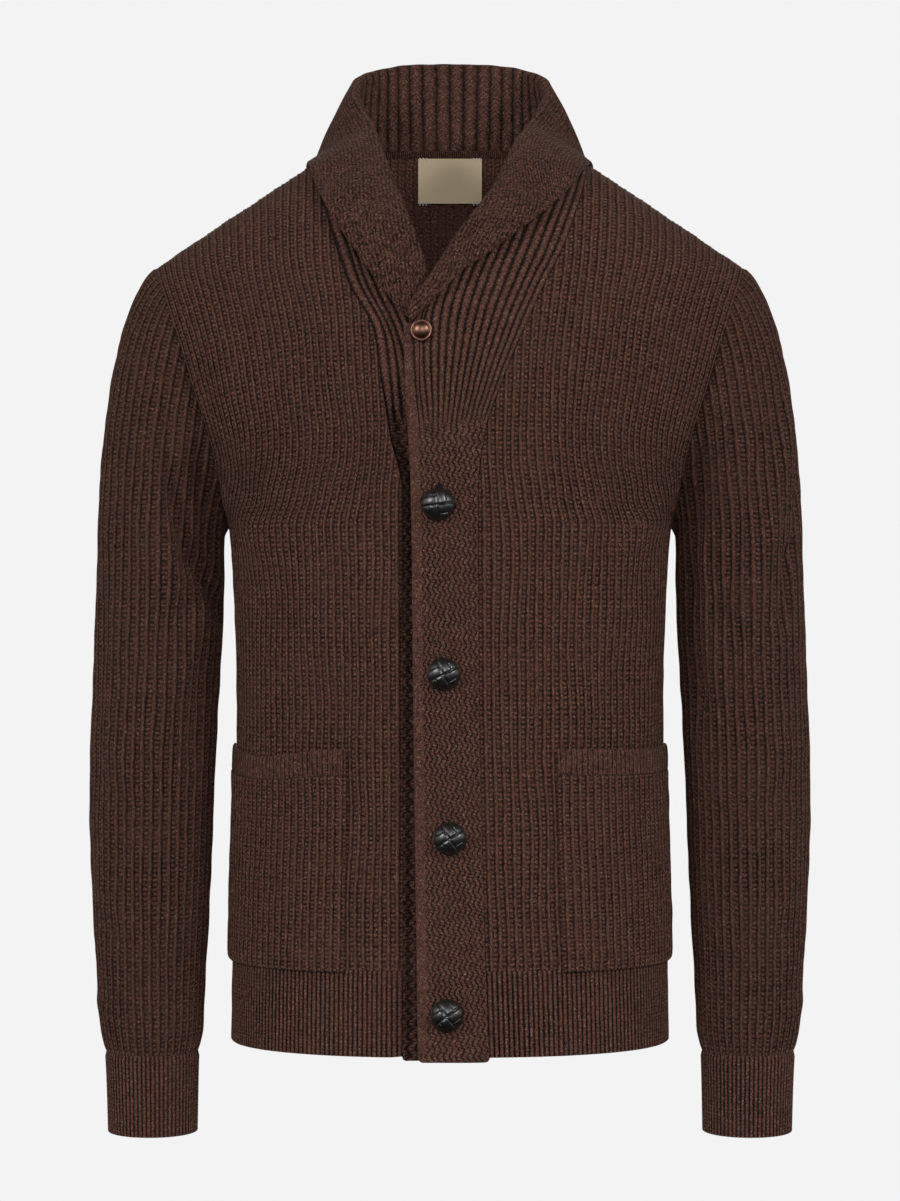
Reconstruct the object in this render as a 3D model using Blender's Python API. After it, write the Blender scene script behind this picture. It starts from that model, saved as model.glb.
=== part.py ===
"""Shawl collar cardigan, built as the knitted pieces that are sewn together.

The cardigan keeps the hollow form of the figure inside it. +X is the wearer's left, -Y the
front and +Z up. The origin is on the line of the shoulders, where the wearer carries it.
Sizes are in millimetres and become metres where a mesh is made.
"""
import math
from collections import namedtuple

import bmesh
import bpy
import numpy as np

MM = 0.001

# Cloth
WALL = 2.2  # plain cloth under the ribs
SEAM = 0.3  # gap between two pieces at a seam
RIB_RISE = 1.1
DEEP_RISE = 1.5  # ribs beside the lapels
STAND_RISE = 1.2  # wide ribs inside the collar stand
SLEEVE_END_RISE = 0.3  # share of a rib's height that is left at the sleeve's ends

# Outer columns to each column of the plain inside
FRONT_STEP = 8
BACK_STEP = 8
SLEEVE_STEP = 4
BAND_STEP = 4
POCKET_STEP = 3
CUFF_STEP = 2
HEM_STEP = 2

# Heights
HEM_BOTTOM = -664.0
HEM_TOP = -600.0
BAND_BOTTOM = -667.5
UNDERARM = -269.0
CUFF_TOP = -671.5
CUFF_BOTTOM = -733.0
RIBS_START = -197.0  # the button band is herringbone below this and deep ribs above it
POCKET_TOP = -435.0
POCKET_WELT = 20.0

# Shoulder line: its neck end, and the fall from there to the sleeve
NECK_X = 106.0
NECK_Z = 16.0
SHOULDER_FALL = 0.662
ROUND_FROM = -220.0  # the chest and the back begin to round over to the shoulders here
ROUND_POWER = 2.2
NAPE_Z = 90.0  # the back's surface would reach the middle of the neck here
NAPE_X = 50.0

# Collar, pockets, bands
COLLAR_WALL = 2.8
ROLL_RADIUS = 3.0
STAND_ROWS = 3
ROLL_ROWS = 3
FALL_ROWS = 3
FALL_BULGE = 0.09  # a long fall's swell as a share of its length
LONG_FALL = 40.0
STATIONS_AT_NECK = 4  # stations to each row of the table around the neck
POCKET_WALL = 2.0
POCKET_INNER_X = 77.0
POCKET_RISE = 1.0
POCKET_FOOT = 2.5  # the pocket's lower edge above the hem seam
BAND_RIBS = 13
UNDERLAP_RIBS = 7

# Buttons, snap and label
BUTTON_RADIUS = 12.4
BUTTON_HEIGHT = 8.5
SNAP_RADIUS = 8.2
LABEL_WIDTH = 51.0
LABEL_TOP = 29.6
LABEL_BOTTOM = -5.0
LABEL_WALL = 0.8
LABEL_HANG = 2.0  # how far the label's lower edge hangs clear of the back
TAPE_HANG = 0.2
LINING_GAP = 0.5
TAPE_WIDTH = 106.0
TAPE_BOTTOM = 30.2
TAPE_TOP = 34.6

Body = namedtuple("Body", "height half_width front back roundness")
BODY = [
    Body(-668, 170.0, 129.0, 116.0, 2.35),
    Body(-608, 169.0, 128.0, 117.0, 2.35),
    Body(-558, 168.0, 125.0, 114.0, 2.35),
    Body(-449, 165.5, 121.0, 103.0, 2.30),
    Body(-402, 165.5, 121.0, 101.0, 2.30),
    Body(-324, 167.5, 123.0, 106.0, 2.30),
    Body(-269, 172.0, 125.0, 111.0, 2.30),
    Body(-240, 178.5, 126.5, 113.0, 2.30),
    Body(-220, 187.0, 127.3, 114.0, 2.30),
    Body(-200, 197.0, 128.0, 115.0, 2.30),
    Body(-150, 222.0, 129.0, 116.0, 2.30),
    Body(-100, 247.0, 130.0, 116.0, 2.30),
    Body(0, 274.0, 130.0, 116.0, 2.30),
    Body(110, 280.0, 130.0, 116.0, 2.30),
]

Armhole = namedtuple("Armhole", "height x")
ARMHOLE = [
    Armhole(-269, 172.0),
    Armhole(-240, 176.5),
    Armhole(-202, 184.0),
    Armhole(-165, 195.5),
    Armhole(-130, 206.0),
    Armhole(-100, 216.0),
    Armhole(-60, 229.2),
    Armhole(0, 236.0),
    Armhole(110, 240.0),
]

# Soft swells (depth over 0) and troughs (under 0) in the body, at x and height, with their half sizes
Fold = namedtuple("Fold", "x height half_x half_height depth")
FRONT_FOLDS = [
    Fold(-79, -485, 9, 60, 2.6),
    Fold(-97, -470, 12, 55, -1.6),
    Fold(118, -350, 26, 90, 2.4),
    Fold(-112, -340, 22, 80, 2.2),
    Fold(84, -520, 12, 70, -1.6),
    Fold(150, -250, 16, 60, 2.0),
    Fold(-152, -245, 15, 60, 2.0),
]
BACK_FOLDS = [
    Fold(-62, -300, 26, 120, 2.4),
    Fold(70, -330, 24, 110, 2.2),
    Fold(8, -420, 30, 90, -2.4),
    Fold(-118, -210, 20, 80, 2.2),
    Fold(112, -200, 18, 85, 2.4),
    Fold(40, -120, 30, 40, -1.8),
]

# Seams of the band and of the underlap to the front panels, and their free edges, from the middle
Line = namedtuple("Line", "height right left right_free left_free")
BANDS = [
    Line(-668, 29.7, 36.4, -23.6, -14.0),
    Line(-554, 26.0, 36.4, -25.2, -14.0),
    Line(-379, 22.4, 36.4, -27.4, -14.0),
    Line(-242, 21.6, 36.4, -29.0, -14.0),
    Line(-197, 27.0, 46.5, -31.2, -11.0),
    Line(-160, 39.3, 51.7, -33.4, -5.0),
    Line(-122, 55.0, 57.5, -34.2, 9.0),
    Line(-85, 71.8, 77.0, -20.0, 26.0),
    Line(-55, 86.5, 86.8, -5.7, 36.0),
    Line(-18, 99.2, 98.0, 7.0, 47.0),
    Line(5, 104.6, 104.6, 12.0, 54.0),
    Line(16, 106.0, 106.0, 14.0, 55.0),
]
SEAM_TURNS = -242.0  # the seams are upright below this and lean out to the neck above it
BAND_ROWS = (BAND_BOTTOM, -632.3, -554.0, -501.4, -378.8, SEAM_TURNS)

# Collar sections from the right lapel's foot round the neck to the left one's: the foot where the
# stand is sewn on, the roll where it turns over, and the fall's free edge
Section = namedtuple("Section", "foot_x foot_z roll_x roll_y roll_z edge_x edge_y edge_z")
RIGHT_LAPEL = [
    Section(-29.0, -118.6, -30.0, -128.6, -106.5, -30.0, -132.8, -118.0),
    Section(-17.5, -105.0, -23.4, -127.4, -95.8, -17.1, -132.2, -105.5),
    Section(-7.5, -89.5, -14.9, -124.8, -84.0, -3.7, -129.8, -91.8),
    Section(5.0, -75.0, -5.2, -119.5, -68.3, 9.7, -125.0, -77.8),
    Section(19.0, -62.0, 7.5, -112.5, -47.8, 23.9, -118.5, -67.9),
    Section(38.5, -44.0, 21.0, -99.0, -29.4, 46.4, -109.5, -50.5),
    Section(63.5, -22.0, 34.9, -76.0, -8.5, 75.4, -95.0, -27.0),
    Section(85.0, -5.5, 48.3, -47.0, 22.5, 93.3, -77.5, -8.2),
    Section(99.0, 8.0, 55.5, -28.0, 35.5, 102.5, -53.5, 8.5),
]
RIGHT_NECK = [
    Section(106.0, 16.0, 61.5, -12.0, 46.0, 111.0, -9.0, 22.5),
    Section(103.0, 21.0, 70.5, 8.0, 62.0, 114.0, 15.5, 20.0),
    Section(96.0, 27.5, 76.5, 27.0, 76.5, 111.0, 41.0, 12.0),
    Section(84.0, 32.5, 74.5, 46.0, 88.0, 95.5, 64.0, 8.0),
    Section(62.0, 35.5, 62.5, 67.0, 97.5, 69.0, 84.5, 8.0),
    Section(33.0, 36.4, 35.5, 85.0, 105.0, 36.0, 93.0, 10.0),
]
NAPE = [Section(0.0, 36.6, 0.0, 91.0, 107.0, 0.0, 95.0, 11.0)]
LEFT_NECK = [
    Section(-33.0, 36.4, -35.5, 85.0, 105.0, -36.0, 93.0, 10.0),
    Section(-62.0, 35.5, -61.5, 68.0, 97.5, -69.0, 84.5, 8.0),
    Section(-84.0, 32.5, -73.0, 48.0, 88.5, -95.5, 64.0, 8.0),
    Section(-96.0, 27.5, -73.5, 28.0, 76.5, -111.0, 41.0, 12.0),
    Section(-103.0, 21.0, -68.5, 8.0, 61.5, -114.0, 15.5, 20.0),
    Section(-106.0, 16.0, -60.0, -13.0, 44.0, -111.5, -9.0, 22.5),
]
LEFT_LAPEL = [
    Section(-99.0, 8.0, -54.0, -32.0, 26.0, -107.0, -53.0, 7.0),
    Section(-88.0, -10.0, -48.0, -54.0, 8.0, -101.0, -72.0, -11.0),
    Section(-76.0, -29.0, -41.0, -76.0, -12.0, -92.0, -90.0, -29.0),
    Section(-64.0, -46.0, -34.0, -92.0, -29.0, -80.5, -102.5, -48.0),
    Section(-52.0, -64.0, -27.0, -104.0, -48.0, -66.6, -112.0, -68.0),
    Section(-42.0, -81.0, -20.5, -108.5, -67.0, -53.7, -117.5, -87.0),
    Section(-29.0, -99.0, -15.0, -113.5, -86.0, -37.0, -120.5, -107.5),
    Section(-17.5, -112.5, -10.4, -117.0, -101.0, -23.8, -122.0, -119.5),
    Section(-11.0, -121.5, -8.0, -119.9, -114.5, -12.5, -123.3, -126.5),
]

# Right sleeve: an upright tube below the cap
Ring = namedtuple("Ring", "height x y half_width half_depth")
SLEEVE = [
    Ring(-293, 224.6, 0.0, 49.4, 62.0),
    Ring(-324, 225.0, -1.5, 50.2, 61.0),
    Ring(-386, 227.0, -4.5, 49.4, 58.0),
    Ring(-448, 229.0, -8.5, 48.3, 56.0),
    Ring(-510, 230.0, -12.0, 47.1, 53.0),
    Ring(-572, 230.2, -16.5, 44.8, 49.5),
    Ring(-619, 230.0, -20.5, 42.0, 45.5),
    Ring(-656, 229.6, -24.0, 39.6, 42.5),
    Ring(-671.5, 229.4, -25.5, 36.3, 38.5),
    Ring(-700, 229.0, -28.0, 35.0, 37.2),
    Ring(-733, 228.6, -30.5, 34.2, 36.4),
]
SLEEVE_RIBS = 40
CUFF_COLUMNS = 32
CAP_ROWS = (0.0, 0.17, 0.45, 1.0)
TUBE_ROWS = (-375.0, -470.0, -565.0, -645.0, CUFF_TOP + SEAM / 2)

# How the sleeve leaves the armhole under the arm, at the front or back, and at the shoulder
Leave = namedtuple("Leave", "x y z reach settle")
UNDERARM_LEAVE = Leave(0.7, 0.0, -0.7, 8.0, 8.0)
FRONT_LEAVE = Leave(0.62, 0.32, -0.72, 46.0, 60.0)
SHOULDER_LEAVE = Leave(0.83, 0.0, -0.56, 46.0, 90.0)

# Soft folds of the right sleeve, around it (0 under the arm, 0.5 outside) and by height
SleeveFold = namedtuple("SleeveFold", "around height half_around half_height depth")
SLEEVE_FOLDS = [
    SleeveFold(0.34, -190, 0.030, 90, -4.0),
    SleeveFold(0.42, -210, 0.032, 100, 3.0),
    SleeveFold(0.25, -270, 0.035, 80, 3.0),
    SleeveFold(0.17, -330, 0.030, 60, -3.0),
    SleeveFold(0.62, -240, 0.040, 110, 3.2),
    SleeveFold(0.72, -290, 0.035, 100, -3.4),
    SleeveFold(0.50, -470, 0.050, 90, 2.0),
    SleeveFold(0.30, -520, 0.045, 70, -2.0),
    SleeveFold(0.85, -430, 0.040, 80, 2.4),
]

LOWER_ROWS = (HEM_TOP + SEAM / 2, -527.0, POCKET_TOP - POCKET_WELT, -360.0)
UPPER_ROWS = (0.31, 0.59, 0.78, 0.92, 1.0)  # shares of the way from there to a column's top
SIDE_TOP_ROW = len(LOWER_ROWS)  # the row at the underarm on a panel's edge
ARMHOLE_COLUMNS = (16, 8, 8, 8)  # sleeve columns to each of the panel's rows up the armhole
FRONT_RIBS = 33
BACK_RIBS = 78
HEM_EVERY = 3  # panel columns to each column of a front hem
HEM_BACK_COLUMNS = 37
HALF_ROUND = 210.0  # length round a panel from the middle to its side seam

# Band: x and height of each button's middle, and how far the band stands off the chest
Spot = namedtuple("Spot", "x height")
BUTTONS = [Spot(-8.9, -252.4), Spot(-4.8, -378.8), Spot(-0.2, -501.4), Spot(-2.2, -632.3)]
SNAP = Spot(-21.0, -124.8)
BAND_LIFT = 1.6
BAND_BEND = 16.0  # distance from its seam over which a band rises or sinks
UNDERLAP_SINK = 3.0
LAPEL_LIFT = 8.0
LAPEL_BEND = 40.0
LAPEL_SPOT = Spot(-16.0, -98.0)

WOOL = ("wool", (0.080, 0.046, 0.034), 0.95, 0.0)
LEATHER = ("leather", (0.022, 0.020, 0.020), 0.38, 0.0)
COPPER = ("copper", (0.72, 0.42, 0.30), 0.32, 1.0)
SATIN = ("satin", (0.66, 0.55, 0.42), 0.45, 0.0)


# ---------------------------------------------------------------- curves and surfaces


def smooth(x, xs, ys):
    """Values at x of a curve through (xs, ys) that never overshoots them."""
    x, xs, ys = (np.asarray(a, float) for a in (x, xs, ys))
    rise = np.diff(ys) / np.diff(xs)
    slope = np.zeros_like(ys)
    same = rise[:-1] * rise[1:] > 0
    slope[1:-1][same] = (2 * rise[:-1] * rise[1:])[same] / (rise[:-1] + rise[1:])[same]
    slope[0], slope[-1] = rise[0], rise[-1]
    i = np.clip(np.searchsorted(xs, x) - 1, 0, len(xs) - 2)
    step = xs[i + 1] - xs[i]
    t = np.clip((x - xs[i]) / step, 0, 1)
    start = (1 + 2 * t) * (1 - t) ** 2 * ys[i] + t * (1 - t) ** 2 * step * slope[i]
    return start + t * t * (3 - 2 * t) * ys[i + 1] + t * t * (t - 1) * step * slope[i + 1]


def read(table, field, height):
    rows = sorted(table, key=lambda row: row.height)
    return smooth(height, [row.height for row in rows], [getattr(row, field) for row in rows])


def unit(v):
    return v / np.maximum(np.linalg.norm(v, axis=-1, keepdims=True), 1e-12)


def step_up(t):
    t = np.clip(t, 0, 1)
    return t * t * (3 - 2 * t)


def shoulder(x, front):
    """Height of the shoulder line at x, carried on across the neck opening."""
    x = np.abs(x)
    out = NECK_Z - SHOULDER_FALL * (x - NECK_X)
    inside = np.clip((NECK_X - x) / (NECK_X if front else NAPE_X), 0, 1)
    across = NECK_Z + (10.0 if front else NAPE_Z - NECK_Z) * inside**0.8
    return np.where(x > NECK_X, out, across)


def depth(x, z, front):
    """How far the body's surface stands before or behind the middle, at x and height z."""
    half = read(BODY, "half_width", z)
    power = read(BODY, "roundness", z)
    flat = np.clip(1 - np.clip(np.abs(x) / half, 0, 1) ** power, 0, 1) ** (1 / power)
    up = np.clip((z - ROUND_FROM) / (shoulder(x, front) - ROUND_FROM), 0, 1)
    over = (1 - up**ROUND_POWER) ** (1 / ROUND_POWER)
    full = read(BODY, "front" if front else "back", z)
    for fold in FRONT_FOLDS if front else BACK_FOLDS:
        across = ((x - fold.x) / fold.half_x) ** 2
        along = ((z - fold.height) / fold.half_height) ** 2
        full = full + fold.depth * np.exp(-across - along)
    return full * flat * over


def body(x, z, front, lift=0.0):
    """Points on the body's surface, moved out by lift, and their outward directions."""
    x, z = np.broadcast_arrays(np.asarray(x, float), np.asarray(z, float))
    side = np.where(x < 0, -1.0, 1.0)
    small = 0.05
    here = depth(x, z, front)
    slope_x = (here - depth(x - side * small, z, front)) / (side * small)
    slope_z = (here - depth(x, z - small, front)) / small
    facing = -1.0 if front else 1.0
    normal = np.stack([-slope_x, facing * np.ones_like(here), -slope_z], axis=-1)
    normal[..., 1] = np.where(here < SEAM / 2, 0.0, normal[..., 1])
    normal = unit(normal)
    point = np.stack([x, facing * np.maximum(here, SEAM / 2), z], axis=-1)
    return point + normal * np.asarray(lift)[..., None], normal


def panel_edge(z):
    """x of the side seam, or of the armhole above it."""
    return np.where(z < UNDERARM, read(BODY, "half_width", z), read(ARMHOLE, "x", z))


def ring_table(front, levels=90, steps=160):
    """x at each share of the way round from the middle to the panel's edge, by height."""
    heights = np.linspace(HEM_BOTTOM - 4, NAPE_Z, levels)
    shares = np.linspace(0, 1, steps)
    table = []
    for z in heights:
        edge = float(panel_edge(z))
        half = float(read(BODY, "half_width", z))
        power = float(read(BODY, "roundness", z))
        deep = float(read(BODY, "front" if front else "back", z))
        last = math.asin(min(1.0, (edge / half) ** (power / 2)))
        angle = np.linspace(0, last, 600)
        x = half * np.sin(angle) ** (2 / power)
        y = deep * np.cos(angle) ** (2 / power)
        run = np.concatenate([[0], np.cumsum(np.hypot(np.diff(x), np.diff(y)))])
        table.append(np.interp(shares, run / run[-1], x))
    return heights, shares, np.array(table)


RINGS = {True: ring_table(True), False: ring_table(False)}


def across(share, z, front):
    """x at a share of the way from the middle (0) to the side seam or armhole (1, or -1)."""
    heights, shares, table = RINGS[front]
    share, z = np.broadcast_arrays(np.asarray(share, float), np.asarray(z, float))
    row = np.clip((z - heights[0]) / (heights[1] - heights[0]), 0, len(heights) - 1.001)
    col = np.clip(np.abs(share) / (shares[1] - shares[0]), 0, len(shares) - 1.001)
    i, j = row.astype(int), col.astype(int)
    u, v = row - i, col - j
    low = table[i, j] * (1 - v) + table[i, j + 1] * v
    high = table[i + 1, j] * (1 - v) + table[i + 1, j + 1] * v
    return np.sign(share) * (low * (1 - u) + high * u)


def share_at(x, z, front):
    """The share at which across gives x."""
    low, high = np.zeros_like(x), np.ones_like(x)
    for _ in range(40):
        middle = (low + high) / 2
        under = across(middle, z, front) < x
        low, high = np.where(under, middle, low), np.where(under, high, middle)
    return (low + high) / 2


def first_height(above, low, high, count):
    """For each column, the height from which above(height) holds."""
    low, high = np.full(count, float(low)), np.full(count, float(high))
    for _ in range(45):
        middle = (low + high) / 2
        passed = above(middle)
        low, high = np.where(passed, low, middle), np.where(passed, middle, high)
    return (low + high) / 2


# ---------------------------------------------------------------- meshes


def material(spec):
    name, colour, roughness, metallic = spec
    found = bpy.data.materials.get(name)
    if found:
        return found
    made = bpy.data.materials.new(name)
    made.use_nodes = True
    shader = made.node_tree.nodes["Principled BSDF"]
    shader.inputs["Base Color"].default_value = (*colour, 1.0)
    shader.inputs["Roughness"].default_value = roughness
    shader.inputs["Metallic"].default_value = metallic
    return made


def place(name, mesh_data, spec):
    """Closes a bmesh off as one named object with its own material."""
    bmesh.ops.recalc_face_normals(mesh_data, faces=mesh_data.faces)
    if mesh_data.calc_volume(signed=True) < 0:
        bmesh.ops.reverse_faces(mesh_data, faces=mesh_data.faces)
    mesh = bpy.data.meshes.new(name)
    mesh_data.to_mesh(mesh)
    mesh_data.free()
    mesh.materials.append(material((f"{spec[0]} {name}", *spec[1:])))
    mesh.shade_smooth()
    mesh.set_sharp_from_angle(angle=math.radians(50))
    piece = bpy.data.objects.new(name, mesh)
    bpy.context.scene.collection.objects.link(piece)
    return piece


def zip_edges(mesh, one, other, kept, ribs=False):
    """Triangles between an edge and a coarser one, whose points lie at the kept places of the
    first. The end of each rib of a ribbed edge is capped on its own."""
    places = list(range(len(one)))
    if ribs:
        for k in range(1, len(one) - 1, 2):
            mesh.faces.new((one[k - 1], one[k], one[k + 1]))
        one, places = one[::2], places[::2]
    i = j = 0
    while i < len(one) - 1 or j < len(other) - 1:
        half_way = (kept[j] + kept[min(j + 1, len(kept) - 1)]) / 2
        if j == len(other) - 1 or (i < len(one) - 1 and places[i + 1] <= half_way):
            mesh.faces.new((one[i], one[i + 1], other[j]))
            i += 1
        else:
            mesh.faces.new((one[i], other[j + 1], other[j]))
            j += 1


def wall(name, outside, inside, kept, spec, tube=False, ribs=(False, False), flip=False):
    """A closed wall between a fine outer grid of points and a coarser inner one.

    Both have the same rows, and the inner one has the kept columns. A tube's columns close on
    themselves. Ribs stand on every second column at the first row, the last one, or both.
    """
    mesh = bmesh.new()
    skins = []
    for grid in (outside, inside):
        rows = [[mesh.verts.new(point * MM) for point in row] for row in grid]
        if tube:
            rows = [row + row[:1] for row in rows]
        skins.append(rows)
        for low, high in zip(rows, rows[1:]):
            for k in range(len(low) - 1):
                if flip:
                    mesh.faces.new((low[k], low[k + 1], high[k]))
                    mesh.faces.new((low[k + 1], high[k + 1], high[k]))
                else:
                    mesh.faces.new((low[k], low[k + 1], high[k + 1]))
                    mesh.faces.new((low[k], high[k + 1], high[k]))
    fine, plain = skins
    kept = list(kept) + ([len(fine[0]) - 1] if tube else [])
    for row, ribbed_end in zip((0, -1), ribs):
        zip_edges(mesh, fine[row], plain[row], kept, ribbed_end)
    if not tube:
        for col in (0, -1):
            rows = range(len(fine))
            zip_edges(mesh, [row[col] for row in fine], [row[col] for row in plain], rows)
    return place(name, mesh, spec)


def coarse(columns, step, extra=()):
    """Numbers of the outer columns that the plain inside keeps, with both edges and any extra."""
    pieces = max(1, round((columns - 1) / step))
    even = np.round(np.linspace(0, columns - 1, pieces + 1)).astype(int)
    return np.unique(np.concatenate([even, np.array(extra, int)]))


def ribbed(columns, rise):
    """How far each column stands out: ribs between two valleys."""
    return np.where(np.arange(columns) % 2 == 1, rise, 0.0)


def skin_wall(name, point, normal, rise, step, extra=(), flip=False):
    """A panel's wall from its surface: ribs outward, a plain inside."""
    kept = coarse(point.shape[1], step, extra)
    outside = point + normal * rise[..., None]
    inside = (point - normal * WALL)[:, kept]
    return wall(name, outside, inside, kept, WOOL, ribs=(rise[0].any(), rise[-1].any()), flip=flip)


# ---------------------------------------------------------------- armhole and sleeve


def armhole():
    """Points round the right armhole, from under the arm up the front and down the back, the
    direction across both walls there, and which of the points are the panels' own corners.

    The points run straight between the panels' rows.
    """
    tip = first_height(lambda z: z > shoulder(read(ARMHOLE, "x", z), True), UNDERARM, 0, 1)
    heights = panel_rows(tip)[SIDE_TOP_ROW:, 0]
    front, front_normal = body(read(ARMHOLE, "x", heights), heights, True)
    back, back_normal = body(read(ARMHOLE, "x", heights), heights, False)
    point = np.vstack([front[:-1], back[:0:-1]])
    normal = np.vstack([front_normal[:-1], back_normal[:0:-1]])
    point[[0, len(front) - 1], 1] = 0
    spans = np.array(ARMHOLE_COLUMNS + ARMHOLE_COLUMNS[::-1])
    corners = np.concatenate([[0], np.cumsum(spans)])
    way = unit(np.roll(point, -1, axis=0) - np.roll(point, 1, axis=0))
    direction = leave(corners[:-1] / corners[-1])[0]
    across_walls = unit(normal + unit(np.cross(direction, way)))
    both = np.hstack([point, across_walls])
    both = np.vstack([both, both[:1]])
    columns = np.arange(corners[-1])
    loop = np.stack([np.interp(columns, corners, both[:, k]) for k in range(6)], axis=1)
    return loop[:, :3], loop[:, 3:], corners[:-1]


def leave(around):
    """Directions and lengths with which the sleeve's columns leave the armhole and settle."""
    rise = 2 * np.sin(math.pi * around) ** 2
    low = step_up(rise)[:, None]
    high = step_up(rise - 1)[:, None]
    under, ahead, top = (np.array(v) for v in (UNDERARM_LEAVE, FRONT_LEAVE, SHOULDER_LEAVE))
    mixed = (under * (1 - low) + ahead * low) * (1 - high) + top * high
    direction = mixed[:, :3].copy()
    direction[:, 1] *= -np.sin(2 * math.pi * around)
    return unit(direction), mixed[:, 3:4], mixed[:, 4:5]


def sleeve_ring(around, z):
    """Points of the sleeve's tube at height z."""
    angle = math.pi + 2 * math.pi * around
    values = [read(SLEEVE, field, z) for field in ("x", "y", "half_width", "half_depth")]
    x, y, half_width, half_depth = values
    full = np.zeros_like(around)
    for fold in SLEEVE_FOLDS:
        off = (around - fold.around) / fold.half_around
        full = full + fold.depth * np.exp(-(off**2) - ((z - fold.height) / fold.half_height) ** 2)
    x = x + (half_width + full) * np.cos(angle)
    return np.stack([x, y + (half_depth + full) * np.sin(angle), np.full_like(around, z)], axis=-1)


def sleeve_grid(count):
    """Points of the right sleeve by row, and their outward directions."""
    around = np.arange(count) / count
    start, across_walls, _ = armhole()
    direction, reach, settle = leave(around)
    way = np.roll(start, -1, axis=0) - np.roll(start, 1, axis=0)
    start = start + unit(np.cross(way, across_walls)) * SEAM
    end = sleeve_ring(around, CAP_END)
    rows = []
    for t in CAP_ROWS:
        bend = start + direction * reach
        down = end + np.array([0.0, 0.0, 1.0]) * settle
        point = (1 - t) ** 3 * start + 3 * t * (1 - t) ** 2 * bend
        rows.append(point + 3 * t * t * (1 - t) * down + t**3 * end)
    rows += [sleeve_ring(around, z) for z in TUBE_ROWS]
    grid = np.array(rows)
    normal = grid_normals(grid)
    normal[0] = across_walls
    return grid, normal


def grid_normals(grid):
    """Outward directions of a tube's grid whose rows run down and columns turn to the front."""
    down = np.gradient(grid, axis=0)
    turn = np.roll(grid, -1, axis=1) - np.roll(grid, 1, axis=1)
    return unit(np.cross(down, turn))


CAP_END = SLEEVE[0].height


def make_sleeve(name, side):
    columns = 2 * SLEEVE_RIBS
    grid, normal = sleeve_grid(columns)
    rise = np.tile(ribbed(columns, RIB_RISE), (len(grid), 1))
    rise[[0, -1]] *= SLEEVE_END_RISE
    mirror = np.array([side, 1.0, 1.0])
    kept = np.arange(0, columns, SLEEVE_STEP)
    inside = (grid - normal * WALL)[:, kept]
    outside = grid + normal * rise[..., None]
    wall(name, outside * mirror, inside * mirror, kept, WOOL, tube=True, ribs=(True, True))


def make_cuff(name, side):
    """A cuff is a plain tube: its ribs are as fine as the knitting."""
    around = np.arange(CUFF_COLUMNS) / CUFF_COLUMNS
    heights = (CUFF_TOP - SEAM / 2, CUFF_BOTTOM)
    grid = np.array([sleeve_ring(around, z) for z in heights])
    normal = grid_normals(grid)
    mirror = np.array([side, 1.0, 1.0])
    kept = np.arange(0, CUFF_COLUMNS, CUFF_STEP)
    inside = (grid - normal * WALL)[:, kept]
    wall(name, grid * mirror, inside * mirror, kept, WOOL, tube=True)


# ---------------------------------------------------------------- body panels


def armhole_mitre(point, normal):
    """Turns a panel's directions at the armhole to share them with the sleeve."""
    loop, across_walls, corners = armhole()
    mirror = np.where(point[:, :1] < 0, np.array([-1.0, 1.0, 1.0]), 1.0)
    gap = np.linalg.norm((point * mirror)[:, None, :] - loop[None, corners], axis=2)
    at_hole = point[:, 2:] > UNDERARM - 1
    return np.where(at_hole, across_walls[corners[gap.argmin(axis=1)]] * mirror, normal)


def panel_rows(top, rows=LOWER_ROWS):
    """Heights of a panel's rows at each column, from the hem seam to the column's top."""
    lower = np.repeat(np.array(rows)[:, None], len(top), axis=1)
    upper = LOWER_ROWS[-1] + (top - LOWER_ROWS[-1]) * np.array(UPPER_ROWS)[:, None]
    return np.vstack([lower, upper])


def side_share():
    """The share of a side seam, less half its gap."""
    return 1 - SEAM / 2 / HALF_ROUND


def seam_x(side, z):
    return np.interp(z, [row.height for row in BANDS], [getattr(row, side) for row in BANDS])


def seam_height(side, x):
    """Height of the leaning part of a band's seam at x."""
    rows = [row for row in BANDS if row.height >= SEAM_TURNS]
    return np.interp(x, [getattr(row, side) for row in rows], [row.height for row in rows])


def first_share(side):
    """Share of a front panel's first column, beside the band."""
    return float(share_at(np.array([seam_x(side, HEM_TOP)]), np.array([HEM_TOP]), True)[0])


def front_share(side):
    """Shares of a front panel's columns, from the band's seam to the side seam."""
    return np.linspace(first_share(side), side_share(), 2 * FRONT_RIBS + 1)


def front_x(share, z, side):
    """x of a front panel's columns, the first of which runs up beside the band."""
    held = np.minimum(z, SEAM_TURNS)
    first = first_share(side)
    shift = seam_x(side, held) + SEAM / 2 - across(first, held, True)
    inner = (side_share() - share) / (side_share() - first)
    return across(share, z, True) + shift * inner**2


def follow(point, normal, knots, knot_normals, offset):
    """Lays a panel's last row along an edge that runs straight between knots, x increasing.

    The column nearest each knot meets it, and these columns are returned. Columns outside the
    edge stay where they are.
    """
    xs = knots[:, 0] + offset[0]
    x = point[-1, :, 0].copy()
    on_edge = (x >= xs[0] - 1e-6) & (x <= xs[-1] + 1e-6)
    met = [int(np.argmin(np.abs(x - knot_x))) for knot_x in xs]
    for k in range(len(met) - 2, -1, -1):
        met[k] = min(met[k], met[k + 1] - 1)
    x[met] = xs
    on_edge[met] = True
    for k in range(3):
        point[-1, on_edge, k] = np.interp(x[on_edge], xs, knots[:, k] + offset[k])
        normal[-1, on_edge, k] = np.interp(x[on_edge], xs, knot_normals[:, k])
    return met


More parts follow.
